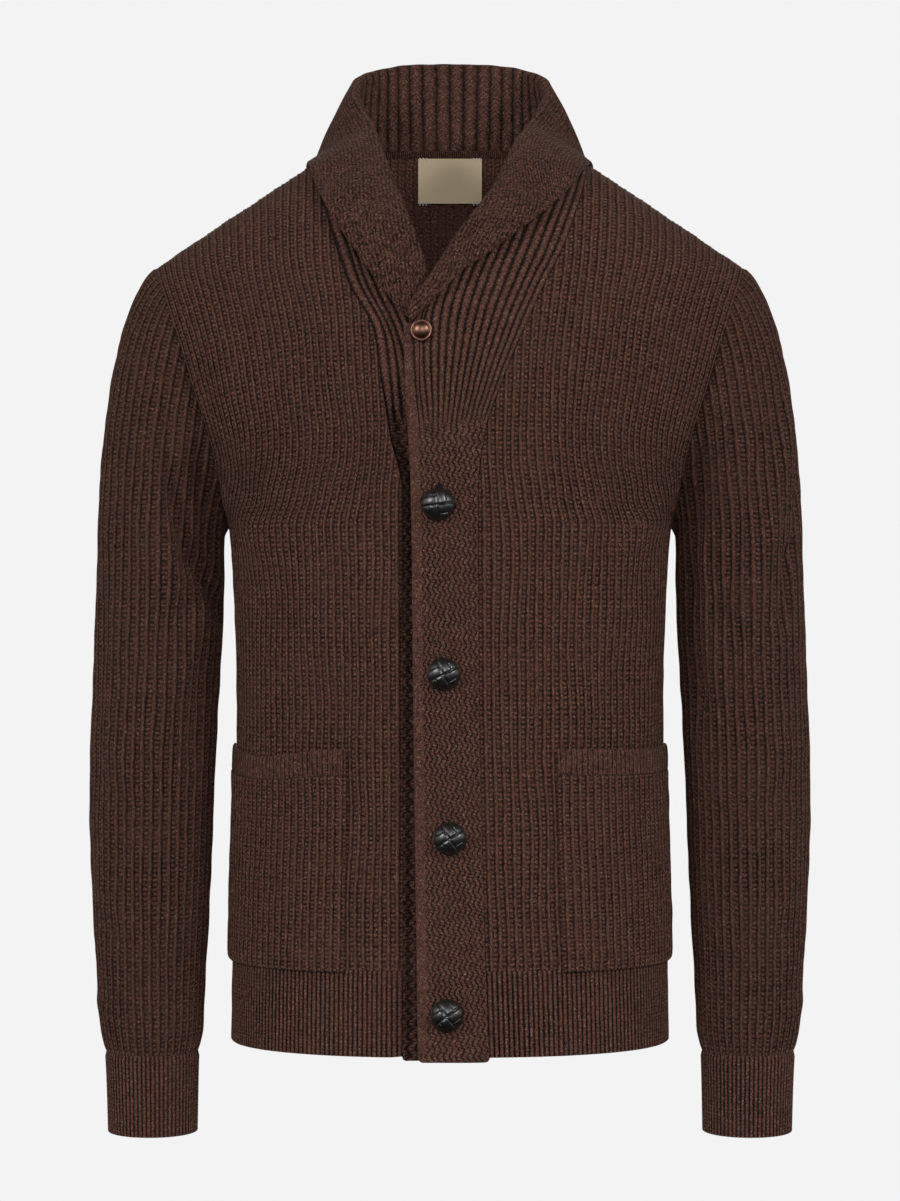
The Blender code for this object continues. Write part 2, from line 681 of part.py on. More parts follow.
def front_grid(side, facing):
    """A front panel's points and outward directions, and the columns its plain inside needs."""
    share = front_share(side)

    def above(z):
        x = front_x(share, z, side)
        at_band = (z > seam_height(side, x - SEAM)) & (x < NECK_X)
        return at_band | (z > shoulder(x, True))

    z = panel_rows(first_height(above, -300, 60, len(share)))
    x = front_x(share[None, :], z, side)
    point, normal = body(x, z, True)
    rows = [row for row in BANDS if row.height >= SEAM_TURNS]
    seam = body([getattr(row, side) for row in rows], [row.height for row in rows], True)
    met = follow(point, normal, *seam, (SEAM, 0.0, 0.0))
    mirror = np.array([facing, 1.0, 1.0])
    normal[:, -1] = armhole_mitre(point[:, -1], normal[:, -1])
    return point * mirror, normal * mirror, met + list(tight_columns(point))


def tight_columns(point):
    """Columns where a panel bends tightly: at the neck corners and beside the armholes."""
    columns = np.arange(point.shape[1])
    x = np.abs(point[-1, :, 0])
    corner = (x > NECK_X - 5) & (x < NECK_X + 4)
    beside = (x > NECK_X - 28) & (x < NECK_X + 9) | (x > x.max() - 12)
    round_side = x > x.max() - 90
    return columns[corner | (beside & (columns % 2 == 0)) | (round_side & (columns % 4 == 0))]


def make_front(side, facing):
    point, normal, needed = front_grid(side, facing)
    rise = np.tile(ribbed(point.shape[1], RIB_RISE), (len(point), 1))
    rise[-1] = 0
    skin_wall(f"front_{side}", point, normal, rise, FRONT_STEP, needed, flip=True)


def neck_height(x):
    """Height of the back neck seam at x."""
    feet = NAPE + RIGHT_NECK[::-1]
    return np.interp(np.abs(x), [row.foot_x for row in feet], [row.foot_z for row in feet])


def neck_foot(rows):
    """Knots of the line where the collar is sewn to the back's neck."""
    return body([row.foot_x for row in rows], [row.foot_z for row in rows], False)


def back_grid():
    """The back's points and outward directions, by row and column."""
    share = np.linspace(-side_share(), side_share(), 2 * BACK_RIBS + 1)

    def above(z):
        x = np.abs(across(share, z, False))
        return np.where(x < NECK_X, z > neck_height(x), z > shoulder(x, False))

    z = panel_rows(first_height(above, -300, 60, len(share)), LOWER_ROWS[:1] + LOWER_ROWS[2:])
    x = across(share[None, :], z, False)
    point, normal = body(x, z, False)
    follow(point, normal, *neck_foot(LEFT_NECK[::-1] + NAPE + RIGHT_NECK[::-1]), (0.0, 0.0, -SEAM / 2))
    for col in (0, -1):
        normal[:, col] = armhole_mitre(point[:, col], normal[:, col])
    return point, normal


def make_back():
    point, normal = back_grid()
    rise = np.tile(ribbed(point.shape[1], RIB_RISE), (len(point), 1))
    rise[-1] = 0
    skin_wall("back", point, normal, rise, BACK_STEP, tight_columns(point))


def make_hem(name, share, front, side=None, facing=1.0):
    """A hem band is plain: its ribs are as fine as the knitting."""
    heights = np.array([HEM_TOP - SEAM / 2, HEM_BOTTOM])[:, None]
    x = across(share[None, :], heights, front)
    if side:
        x = facing * front_x(share[None, :], heights, side)
    point, normal = body(x, heights, front)
    skin_wall(name, point, normal, np.zeros(point.shape[:2]), HEM_STEP)


# ---------------------------------------------------------------- bands


def band_lift(x, z):
    """How far the button band stands off the body: over the underlap, and over the left lapel."""
    inward = seam_x("right", z) - x
    off = ((x - LAPEL_SPOT.x) / 30) ** 2 + ((z - LAPEL_SPOT.height) / 40) ** 2
    lapel = LAPEL_LIFT * np.exp(-off) * step_up(inward / LAPEL_BEND)
    return BAND_LIFT * step_up(inward / BAND_BEND) + lapel


def underlap_lift(x, z):
    """The underlap sinks behind the button band; x counts from the left side."""
    return -UNDERLAP_SINK * step_up((seam_x("left", z) - x) / BAND_BEND)


def lapel_foot(facing, lapel, lift):
    """Knots of the line where a lapel is sewn to its band, in the order of the lapel's rows."""
    x = np.array([facing * row.foot_x for row in lapel])
    z = np.array([row.foot_z for row in lapel])
    point, normal = body(x, z, True)
    mirror = np.array([facing, 1.0, 1.0])
    return (point + normal * lift(x, z)[..., None]) * mirror, normal * mirror


def make_band(side, facing, lift, lapel, ribs):
    """A band: straight below, and above it runs along the leaning seam up to the collar's foot."""
    columns = 2 * ribs + 1
    share = np.linspace(0, 1, columns)
    feet = sorted([(facing * row.foot_x, row.foot_z) for row in lapel] + [(NECK_X, NECK_Z)])

    def column_x(z):
        seam = seam_x(side, z)
        return seam - SEAM / 2 - share * (seam - seam_x(f"{side}_free", z) - SEAM)

    def above(z):
        return z > np.interp(column_x(z), *zip(*feet)) - SEAM / 2

    top = first_height(above, RIBS_START, 40, columns)
    steps = np.array([row.height for row in BANDS if row.height > SEAM_TURNS])
    climb = (steps - RIBS_START) / (NECK_Z - RIBS_START)
    z = np.vstack([
        np.repeat(np.array(BAND_ROWS)[:, None], columns, axis=1),
        RIBS_START + (top - RIBS_START) * climb[:, None],
    ])
    x = np.array([column_x(row) for row in z])
    point, normal = body(x, z, True)
    point = point + normal * lift(x, z)[..., None]
    mirror = np.array([facing, 1.0, 1.0])
    to_neck = [Section(facing * NECK_X, NECK_Z, *[0.0] * 6)]
    ordered = sorted(lapel + to_neck, key=lambda row: facing * row.foot_x)
    knots, knot_normals = (mirror * values for values in lapel_foot(facing, ordered, lift))
    backward = point[:, ::-1], normal[:, ::-1]
    met = follow(*backward, knots, knot_normals, (0.0, 0.0, -SEAM / 2))
    point, normal = point * mirror, normal * mirror
    rise = np.tile(ribbed(columns, DEEP_RISE), (len(z), 1))
    rise[: len(BAND_ROWS) + 1] = 0
    rise[-1] = 0
    needed = [columns - 1 - k for k in met]
    skin_wall(f"band_{side}", point, normal, rise, BAND_STEP, needed)


# ---------------------------------------------------------------- collar


def collar_stations():
    """The collar's sections, with more of them round the neck than down the lapels."""
    rows = RIGHT_LAPEL + RIGHT_NECK + NAPE + LEFT_NECK + LEFT_LAPEL
    values = np.array(rows)
    first = len(RIGHT_LAPEL)
    last = len(rows) - len(LEFT_LAPEL) - 1
    neck = np.linspace(first, last, (last - first) * STATIONS_AT_NECK + 1)
    lapel = np.arange(first)
    index = np.arange(len(rows))
    stations = np.concatenate([lapel, neck, len(rows) - 1 - lapel[::-1]])
    picked = [smooth(stations, index, values[:, k]) for k in range(values.shape[1])]
    feet = [
        lapel_foot(1.0, RIGHT_LAPEL, band_lift),
        neck_foot(RIGHT_NECK + NAPE + LEFT_NECK),
        lapel_foot(-1.0, LEFT_LAPEL, underlap_lift),
    ]
    knots = np.vstack([np.hstack(pair) for pair in feet])
    foot = np.stack([np.interp(stations, index, knots[:, k]) for k in range(6)], axis=-1)
    on_neck = (stations >= first) & (stations <= last)
    return [Section(*row) for row in np.array(picked).T], foot, on_neck


def collar_section(section, start, way):
    """Middle line of one section from its foot over the roll to the free edge."""
    roll = np.array([section.roll_x, section.roll_y, section.roll_z])
    edge = np.array([section.edge_x, section.edge_y, section.edge_z])
    ahead = unit(roll - edge)
    out = unit(np.cross(ahead, way))
    if out @ np.array([roll[0], roll[1] - 20.0, 0.0]) < 0:
        out = -out
    centre = roll - ahead * ROLL_RADIUS
    t = np.linspace(0, 1, STAND_ROWS + 1)[:-1, None]
    line = start + (centre - out * ROLL_RADIUS - start) * t
    angle = np.linspace(-math.pi / 2, math.pi / 2, ROLL_ROWS + 1)[:, None]
    arc = centre + ROLL_RADIUS * (np.cos(angle) * ahead + np.sin(angle) * out)
    t = np.linspace(0, 1, FALL_ROWS + 1)[1:, None]
    down = arc[-1]
    length = np.linalg.norm(edge - down)
    bulge = FALL_BULGE * length * min(1.0, length / LONG_FALL)
    fall = down + (edge - down) * t + out * bulge * 4 * t * (1 - t)
    return np.vstack([line, arc, fall])


def make_collar():
    """The outer skin is the one that shows inside the stand and on top of the fall."""
    sections, foot, on_neck = collar_stations()
    start = foot[:, :3] - foot[:, 3:] * WALL / 2
    rolls = np.array([[s.roll_x, s.roll_y, s.roll_z] for s in sections])
    way = unit(np.gradient(rolls, axis=0))
    lines = [collar_section(*values) for values in zip(sections, start, way)]
    grid = np.array(lines).transpose(1, 0, 2)
    normal = unit(np.cross(np.gradient(grid, axis=0), np.gradient(grid, axis=1)))
    normal[0] = -foot[:, 3:]
    grid[0] = grid[0] + unit(grid[1] - grid[0]) * 2 * SEAM
    stations = np.arange(grid.shape[1])
    rise = np.zeros(grid.shape[:2])
    rise[1 : STAND_ROWS + 1] = np.where(on_neck & (stations % 2 == 0), STAND_RISE, 0.0)
    half = COLLAR_WALL / 2
    outside = grid + normal * (half + rise)[..., None]
    first = int(np.argmax(on_neck))
    kept = stations[~on_neck | ((stations - first) % 2 == 0)]
    wall("collar", outside, (grid - normal * half)[:, kept], kept, WOOL)


# ---------------------------------------------------------------- pockets, trim


def make_pocket(side, facing):
    """A patch pocket and its turned welt: the front panel's own columns, moved out."""
    point, normal, _ = front_grid(side, facing)
    inner = 2 * int(np.argmin(np.abs(np.abs(point[2, ::2, 0]) - POCKET_INNER_X)))
    point, normal = point[:4, inner:], normal[:4, inner:]
    seat = RIB_RISE + 2 * SEAM

    def row(height):
        """The panel's row at a height, straight between its own rows."""
        k = int(np.searchsorted(LOWER_ROWS, height) - 1)
        t = (height - LOWER_ROWS[k]) / (LOWER_ROWS[k + 1] - LOWER_ROWS[k])
        return point[k] * (1 - t) + point[k + 1] * t, unit(normal[k] * (1 - t) + normal[k + 1] * t)

    split = LOWER_ROWS[2]
    spans = {
        f"pocket_{side}": (HEM_TOP + POCKET_FOOT, LOWER_ROWS[1], split - SEAM / 2),
        f"pocket_welt_{side}": (split + SEAM / 2, POCKET_TOP),
    }
    for node, heights in spans.items():
        rows = [row(height) for height in heights]
        base = np.array([r[0] for r in rows])
        out = np.array([r[1] for r in rows])
        full = seat + POCKET_WALL + ribbed(base.shape[1], POCKET_RISE)
        kept = coarse(base.shape[1], POCKET_STEP)
        inside = (base + out * seat)[:, kept]
        wall(node, base + out * full[None, :, None], inside, kept, WOOL, ribs=(True, True))


def lining(x, z):
    """y of the back's plain inside at each x and z."""
    point, normal = back_grid()
    kept = coarse(point.shape[1], BACK_STEP, tight_columns(point))
    inside = (point - normal * WALL)[:, kept]

    def at(one_x, one_z):
        ys, zs = (np.array([np.interp(one_x, row[:, 0], row[:, k]) for row in inside]) for k in (1, 2))
        return np.interp(one_z, zs, ys)

    return np.vectorize(at)(x, z)


def make_strip(name, width, low, high, hang, spec, columns):
    """A thin strip inside the back, below the neck seam; its lower edge hangs clear by hang."""
    x = np.linspace(-width / 2, width / 2, columns)[None, :] * np.ones((3, 1))
    z = np.linspace(low, high, 3)[:, None] * np.ones((1, columns))
    y = lining(x, z) - LINING_GAP - hang * (high - z) / (high - low)
    outside = np.stack([x, y, z], axis=-1)
    wall(name, outside, outside - np.array([0.0, LABEL_WALL, 0.0]), range(columns), spec)


def on_band(x, z, lift):
    point, normal = body(x, z, True)
    return point + normal * (band_lift(x, z) + lift)[..., None]


def frame_on_band(spot, lift):
    """Seat on the band at a spot: its point, outward direction and two ways across it."""
    reach = 6.0
    x = spot.x + reach * np.array([0, 1, -1, 0, 0])
    z = spot.height + reach * np.array([0, 0, 0, 1, -1])
    seat, right, left, upper, lower = on_band(x, z, np.full(5, lift))
    sideways = unit(right - left)
    normal = unit(np.cross(sideways, upper - lower))
    return seat, normal, sideways, np.cross(normal, sideways)


def make_cap(name, spot, profile, spec, segments, lift, relief=None):
    """A turned cap on the band, from its profile of radius and height; relief shapes its face."""
    seat, normal, sideways, upward = frame_on_band(spot, lift)
    mesh = bmesh.new()
    rings = []
    for radius, height in profile:
        ring = []
        for k in range(segments):
            turn = 2 * math.pi * k / segments
            raised = height + (relief(radius, turn) if relief and height > 0 else 0)
            flat = sideways * math.cos(turn) + upward * math.sin(turn)
            ring.append(mesh.verts.new((seat + flat * radius + normal * raised) * MM))
        rings.append(ring)
    for low, high in zip(rings, rings[1:]):
        for k in range(segments):
            after = (k + 1) % segments
            mesh.faces.new((low[k], low[after], high[after], high[k]))
    mesh.faces.new(rings[0][::-1])
    tip = mesh.verts.new((seat + normal * (profile[-1][1] + 0.25)) * MM)
    for k in range(segments):
        mesh.faces.new((rings[-1][k], rings[-1][(k + 1) % segments], tip))
    place(name, mesh, spec)


def weave(radius, turn):
    """Relief of the four leather strips that cross on a button's face."""
    edge = 0.5 + 0.5 * math.cos(4 * turn)
    return 0.5 * edge * math.sin(math.pi * min(1.0, radius / BUTTON_RADIUS))


def make_buttons():
    profile = [(BUTTON_RADIUS * 0.86, 0.0), (BUTTON_RADIUS, 1.6)]
    for k in range(1, 5):
        angle = math.pi / 2 * k / 5
        height = 1.6 + (BUTTON_HEIGHT - 1.6) * math.sin(angle)
        profile.append((BUTTON_RADIUS * math.cos(angle), height))
    for number, spot in enumerate(BUTTONS, 1):
        make_cap(f"button_{number}", spot, profile, LEATHER, 14, 2 * SEAM, weave)


def make_snap():
    profile = [
        (SNAP_RADIUS * 0.92, 0.0),
        (SNAP_RADIUS, 0.7),
        (SNAP_RADIUS * 0.94, 1.9),
        (SNAP_RADIUS * 0.80, 1.7),
        (SNAP_RADIUS * 0.42, 4.0),
        (SNAP_RADIUS * 0.16, 4.7),
    ]
    make_cap("snap", SNAP, profile, COPPER, 14, DEEP_RISE + 2 * SEAM)


def main():
    for old in list(bpy.data.objects):
        bpy.data.objects.remove(old)
    for side, facing in (("right", 1.0), ("left", -1.0)):
        make_front(side, facing)
        make_sleeve(f"sleeve_{side}", facing)
        make_cuff(f"cuff_{side}", facing)
        make_hem(f"hem_front_{side}", front_share(side)[::HEM_EVERY], True, side, facing)
        make_pocket(side, facing)
    make_back()
    make_hem("hem_back", np.linspace(-side_share(), side_share(), HEM_BACK_COLUMNS), False)
    make_band("right", 1.0, band_lift, RIGHT_LAPEL, BAND_RIBS)
    make_band("left", -1.0, underlap_lift, LEFT_LAPEL, UNDERLAP_RIBS)
    make_collar()
    make_strip("neck_tape", TAPE_WIDTH, TAPE_BOTTOM, TAPE_TOP, TAPE_HANG, WOOL, 9)
    make_strip("neck_label", LABEL_WIDTH, LABEL_BOTTOM, LABEL_TOP, LABEL_HANG, SATIN, 5)
    make_buttons()
    make_snap()


main()
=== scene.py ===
"""Shawl collar cardigan: the knitted cloth, leather buttons, press stud and label on its frame.

Every piece of cloth follows the form of its own solid in the frame. Ribs, raised stitches, creases
and rolled edges are modelled, and the single loops of wool are left to the materials. Tables and
lengths in the mesh code are in millimetres. +X is the wearer's left, -Y the front and +Z up.
"""
import math
from collections import namedtuple

import bmesh
import bpy
import numpy as np
from bpy.props import FloatProperty, FloatVectorProperty, PointerProperty
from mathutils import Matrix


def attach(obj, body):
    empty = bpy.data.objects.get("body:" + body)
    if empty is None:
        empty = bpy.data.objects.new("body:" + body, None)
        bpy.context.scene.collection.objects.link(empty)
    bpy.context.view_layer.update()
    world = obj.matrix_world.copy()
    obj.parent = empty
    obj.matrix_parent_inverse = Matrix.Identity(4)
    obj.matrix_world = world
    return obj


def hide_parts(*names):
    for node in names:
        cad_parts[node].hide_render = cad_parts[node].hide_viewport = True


bl_info = {
    "name": "Shawl Collar Cardigan",
    "version": (1, 0, 0),
    "blender": (4, 5, 0),
    "location": "View3D > Sidebar > Cardigan",
    "description": "Knits a shawl collar cardigan, piece by piece, over its frame",
    "category": "Add Mesh",
}

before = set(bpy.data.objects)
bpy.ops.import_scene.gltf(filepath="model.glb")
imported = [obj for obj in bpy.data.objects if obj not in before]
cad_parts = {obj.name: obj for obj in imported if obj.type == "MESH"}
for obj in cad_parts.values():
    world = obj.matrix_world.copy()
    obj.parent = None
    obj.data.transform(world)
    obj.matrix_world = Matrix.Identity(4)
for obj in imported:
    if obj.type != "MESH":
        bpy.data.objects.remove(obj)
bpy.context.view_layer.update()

MM = 0.001
BODY_NAME = "root"

# ------------------------------------------------------------------ sizes of the garment

WALL = 2.2  # plain cloth under the ribs
SEAM = -0.4  # pieces lap over each other this far at their seams
SIDE = 0.2  # this close to a side seam the walls stand square to it
HEM_BOTTOM = -664.0
HEM_TOP = -600.0
BAND_BOTTOM = -667.5
UNDERARM = -269.0
WAIST = -360.0
CUFF_TOP = -671.5
CUFF_BOTTOM = -733.0
RIBS_START = -197.0  # the bands are herringbone below this and deep ribs above it
POCKET_TOP = -435.0
POCKET_WELT = 20.0
POCKET_FOOT = -601.5
POCKET_INNER_X = 77.0
POCKET_WALL = 2.0
POCKET_SAG = {"right": 2.0, "left": 7.0}  # how far each mouth hangs in its middle

# Shoulder line: its neck end, and the fall from there to the sleeve
NECK_X = 106.0
NECK_Z = 16.0
SHOULDER_FALL = 0.662
ROUND_FROM = -220.0
ROUND_POWER = 2.2
NAPE_Z = 90.0
NAPE_X = 50.0
HALF_ROUND = 210.0  # length round a panel from the middle to its side seam

# Knitting
BODY_COURSE = 3.6
POCKET_COURSE = 3.1
WELT_COURSE = 2.6
BAND_COURSE = 2.35
PURL_STITCH = 3.0
FRONT_RIBS = 33
BACK_RIBS = 78
SLEEVE_RIBS = 40
CUFF_RIBS = 66
HEM_FRONT_RIBS = 56
HEM_BACK_RIBS = 124
BAND_RIBS = 11
UNDERLAP_RIBS = 6
DEEP_SHARE = 1.36  # deep ribs to each zigzag rib
STAND_RIBS = 38
BAND_MARGIN = 9.0  # plain strip along a band's free edge
RACK = 0.38  # how far the zigzag ribs swing, as a share of their width
RACK_COURSES = 4.0
BAND_COURSES = (RIBS_START - BAND_BOTTOM) / BAND_COURSE  # courses of herringbone
RIB_DRIFT = 1.5  # how far the ribs stray sideways
RIDGE_FLAT = 11.0  # the ribs lie flat this close to the shoulder line, and rise over the next stretch
RIDGE_FADE = 20.0
RIB_SINK = 0.8  # how far the valleys of broad ribs lie below the form
WELT_SINK = 0.45

# Collar
COLLAR_WALL = 2.8
ROLL_RADIUS = 3.0
FALL_BULGE = 0.09
SIDE_HOLLOW = 0.15  # how much straighter the fall is beside the neck
LONG_FALL = 40.0

# Bands
SEAM_TURNS = -242.0  # the bands' seams are upright below this and lean out to the neck above it
BAND_LIFT = 1.6
BAND_CORNER = 4.0
BAND_BEND = 16.0  # distance from its seam over which a band rises or sinks
BAND_STEP = 4
UNDERLAP_SINK = 3.0
UNDERLAP_DEEP = 11.0  # how far it sinks lower down, past its seam
UNDERLAP_BEND = 6.0
VALLEY = 7.0  # depth of the fold along the underlap's seam
VALLEY_WIDTH = 5.5
VALLEY_TOP = -150.0  # the fold grows deeper from here down over the next stretch
VALLEY_FADE = 45
LAPEL_LIFT = 8.0
LAPEL_BEND = 40.0
BAND_COLUMNS = 121
UNDERLAP_COLUMNS = 97

# Columns to each rib of the meshes
PANEL_STEP = 6
FINE_STEP = 6  # hem and cuffs
SLEEVE_STEP = 8
POCKET_STEP = 8
CAP_ROWS = 110

# Pocket welts
WELT_SHARE = 1.5  # fine ribs to each broad one
WELT_ROW = 0.3  # place in a course that a whole welt is coloured from

# Buttons, snap, label
BUTTON_RADIUS = 12.4
BUTTON_HEIGHT = 8.8
BUTTON_STRAP = 0.60  # width of a strap as a share of the radius
BUTTON_RELIEF = 1.3  # depth of the gaps between straps
BUTTON_SQUEEZE = 0.045  # how far the gaps are drawn in, as a share of their distance from the middle
BUTTON_BACK = 0.22  # thickness of the underside as a share of the radius
BUTTON_SEAT = 2.0  # how far buttons and snap stand off the band's form
HOLE_SIZE = (3.2, 12.6, 0.8)  # half sizes of a buttonhole
HOLE_SEAT = 0.75
SNAP_RADIUS = 8.2
# Rings of the snap from its foot inwards: share of its radius and height
SNAP_FOOT = 0.90
SNAP_RIM = [(0.98, 0.3), (1.0, 0.9), (0.985, 1.5), (0.93, 1.95), (0.86, 2.0), (0.80, 1.65), (0.775, 1.6)]
SNAP_DOME = [(0.76, 2.0), (0.70, 2.7), (0.58, 3.5), (0.42, 4.15), (0.24, 4.55), (0.08, 4.7)]
LABEL_WIDTH = 51.0
LABEL_TOP = 29.6
LABEL_BOTTOM = -5.0
LABEL_HANG = 2.0  # how far the label's lower edge hangs clear of the back
LABEL_WALL = 0.6
TAPE_WIDTH = 106.0
TAPE_BOTTOM = 30.2
TAPE_TOP = 34.6
TAPE_HANG = 0.2
TAPE_WALL = 0.8
STRIP_GAP = 0.5  # room between the back and what is sewn to it

Body = namedtuple("Body", "height half_width front back roundness")
BODY = [
    Body(-668, 170.0, 129.0, 116.0, 2.35),
    Body(-608, 169.0, 128.0, 117.0, 2.35),
    Body(-558, 168.0, 125.0, 114.0, 2.35),
    Body(-449, 165.5, 121.0, 103.0, 2.30),
    Body(-402, 165.5, 121.0, 101.0, 2.30),
    Body(-324, 167.5, 123.0, 106.0, 2.30),
    Body(-269, 172.0, 125.0, 111.0, 2.30),
    Body(-240, 178.5, 126.5, 113.0, 2.30),
    Body(-220, 187.0, 127.3, 114.0, 2.30),
    Body(-200, 197.0, 128.0, 115.0, 2.30),
    Body(-150, 222.0, 129.0, 116.0, 2.30),
    Body(-100, 247.0, 130.0, 116.0, 2.30),
    Body(0, 274.0, 130.0, 116.0, 2.30),
    Body(110, 280.0, 130.0, 116.0, 2.30),
]

Armhole = namedtuple("Armhole", "height x")
ARMHOLE = [
    Armhole(-269, 172.0),
    Armhole(-240, 176.5),
    Armhole(-202, 184.0),
    Armhole(-165, 195.5),
    Armhole(-130, 206.0),
    Armhole(-100, 216.0),
    Armhole(-60, 229.2),
    Armhole(0, 236.0),
    Armhole(110, 240.0),
]
# Heights round the armhole: share of the way from under the arm (0) up to the shoulder (0.5),
# and share of the height from the waist to the shoulder's tip
ArmholeRow = namedtuple("ArmholeRow", "around share")
ARMHOLE_ROWS = [
    ArmholeRow(0.0, 0.31),
    ArmholeRow(0.2, 0.59),
    ArmholeRow(0.3, 0.78),
    ArmholeRow(0.4, 0.92),
    ArmholeRow(0.5, 1.0),
]

# Soft swells (depth over 0) and troughs (under 0), at x and height, with their half sizes
Fold = namedtuple("Fold", "x height half_x half_height depth")
FRONT_FOLDS = [
    Fold(-79, -485, 9, 60, 2.6),
    Fold(-97, -470, 12, 55, -1.6),
    Fold(118, -350, 26, 90, 2.4),
    Fold(-112, -340, 22, 80, 2.2),
    Fold(84, -520, 12, 70, -1.6),
    Fold(150, -250, 16, 60, 2.0),
    Fold(-152, -245, 15, 60, 2.0),
]
BACK_FOLDS = [
    Fold(-62, -300, 26, 120, 2.4),
    Fold(70, -330, 24, 110, 2.2),
    Fold(8, -420, 30, 90, -2.4),
    Fold(-118, -210, 20, 80, 2.2),
    Fold(112, -200, 18, 85, 2.4),
    Fold(40, -120, 30, 40, -1.8),
]

# Creases run from one end to the other, with a half width and a depth
Crease = namedtuple("Crease", "x0 height0 x1 height1 half_width depth")
FRONT_CREASES = [
    Crease(196, -196, 128, -262, 7, -1.7),
    Crease(190, -222, 118, -300, 9, 1.5),
    Crease(176, -262, 132, -330, 8, -1.5),
    Crease(-198, -190, -136, -262, 8, -1.6),
    Crease(-188, -226, -128, -296, 9, 1.5),
    Crease(-174, -262, -140, -340, 7, -1.5),
    Crease(64, -70, 50, -190, 10, -1.3),
    Crease(92, -38, 96, -150, 12, 1.2),
    Crease(-64, -92, -56, -170, 9, -1.6),
    Crease(-84, -60, -92, -170, 12, 1.2),
    Crease(40, -262, 96, -318, 10, -1.1),
    Crease(-30, -260, -86, -310, 10, -1.1),
    Crease(-140, -400, -118, -560, 11, 1.0),
    Crease(130, -410, 112, -570, 12, -1.0),
]
BACK_CREASES = [
    Crease(196, -190, 118, -268, 8, -1.7),
    Crease(188, -228, 104, -318, 9, 1.5),
    Crease(-198, -186, -112, -262, 8, -1.7),
    Crease(-186, -226, -100, -306, 10, 1.5),
    Crease(-60, -30, 62, -40, 12, -1.4),
    Crease(-84, -400, 40, -452, 12, -1.5),
    Crease(-30, -436, 96, -480, 12, 1.3),
    Crease(-110, -480, -40, -510, 10, -1.1),
    Crease(24, -150, 36, -330, 14, -1.1),
]

# Seams of the band and of the underlap to the front panels, and their free edges
Line = namedtuple("Line", "height right left right_free left_free")
BANDS = [
    Line(-668, 29.7, 36.4, -23.6, -14.0),
    Line(-554, 26.0, 36.4, -25.2, -14.0),
    Line(-379, 22.4, 36.4, -27.4, -14.0),
    Line(-242, 21.6, 36.4, -29.0, -14.0),
    Line(-197, 27.0, 46.5, -31.2, -11.0),
    Line(-160, 39.3, 51.7, -33.4, -5.0),
    Line(-122, 55.0, 57.5, -34.2, 9.0),
    Line(-85, 71.8, 77.0, -20.0, 26.0),
    Line(-55, 86.5, 86.8, -5.7, 36.0),
    Line(-18, 99.2, 98.0, 7.0, 47.0),
    Line(5, 104.6, 104.6, 12.0, 54.0),
    Line(16, 106.0, 106.0, 14.0, 55.0),
]

# Collar sections from the right lapel's foot round the neck to the left one's
Section = namedtuple("Section", "foot_x foot_z roll_x roll_y roll_z edge_x edge_y edge_z")
RIGHT_LAPEL = [
    Section(-29.0, -118.6, -30.0, -128.6, -106.5, -30.0, -132.8, -118.0),
    Section(-17.5, -105.0, -23.4, -127.4, -95.8, -17.1, -132.2, -105.5),
    Section(-7.5, -89.5, -14.9, -124.8, -84.0, -3.7, -129.8, -91.8),
    Section(5.0, -75.0, -5.2, -119.5, -68.3, 9.7, -125.0, -77.8),
    Section(19.0, -62.0, 7.5, -112.5, -47.8, 23.9, -118.5, -67.9),
    Section(38.5, -44.0, 21.0, -99.0, -29.4, 46.4, -109.5, -50.5),
    Section(63.5, -22.0, 34.9, -76.0, -8.5, 75.4, -95.0, -27.0),
    Section(85.0, -5.5, 48.3, -47.0, 22.5, 93.3, -77.5, -8.2),
    Section(99.0, 8.0, 55.5, -28.0, 35.5, 102.5, -53.5, 6.0),
]
RIGHT_NECK = [
    Section(106.0, 16.0, 61.5, -12.0, 46.0, 110.5, -9.0, 15.0),
    Section(103.0, 21.0, 70.5, 8.0, 62.0, 112.0, 15.5, 12.6),
    Section(96.0, 27.5, 76.5, 27.0, 76.5, 111.0, 41.0, 12.0),
    Section(84.0, 32.5, 74.5, 46.0, 88.0, 95.5, 64.0, 8.0),
    Section(62.0, 35.5, 62.5, 67.0, 97.5, 69.0, 84.5, 8.0),
    Section(33.0, 36.4, 35.5, 85.0, 105.0, 36.0, 93.0, 10.0),
]
NAPE = [Section(0.0, 36.6, 0.0, 91.0, 107.0, 0.0, 95.0, 11.0)]
LEFT_NECK = [
    Section(-33.0, 36.4, -35.5, 85.0, 105.0, -36.0, 93.0, 10.0),
    Section(-62.0, 35.5, -61.5, 68.0, 97.5, -69.0, 84.5, 8.0),
    Section(-84.0, 32.5, -73.0, 48.0, 88.5, -95.5, 64.0, 8.0),
    Section(-96.0, 27.5, -73.5, 28.0, 76.5, -111.0, 41.0, 12.0),
    Section(-103.0, 21.0, -68.5, 8.0, 61.5, -112.5, 15.5, 12.6),
    Section(-106.0, 16.0, -60.0, -13.0, 44.0, -111.0, -9.0, 15.0),
]
LEFT_LAPEL = [
    Section(-99.0, 8.0, -54.0, -32.0, 26.0, -107.0, -53.0, 5.0),
    Section(-88.0, -10.0, -48.0, -54.0, 8.0, -101.0, -72.0, -11.0),
    Section(-76.0, -29.0, -41.0, -76.0, -12.0, -92.0, -90.0, -29.0),
    Section(-64.0, -46.0, -34.0, -92.0, -29.0, -80.5, -102.5, -48.0),
    Section(-52.0, -64.0, -27.0, -104.0, -48.0, -66.6, -112.0, -68.0),
    Section(-42.0, -81.0, -20.5, -108.5, -67.0, -53.7, -117.5, -87.0),
    Section(-29.0, -99.0, -15.0, -113.5, -86.0, -37.0, -120.5, -107.5),
    Section(-17.5, -112.5, -10.4, -117.0, -101.0, -23.8, -122.0, -119.5),
    Section(-11.0, -121.5, -8.0, -119.9, -114.5, -12.5, -123.3, -126.5),
]

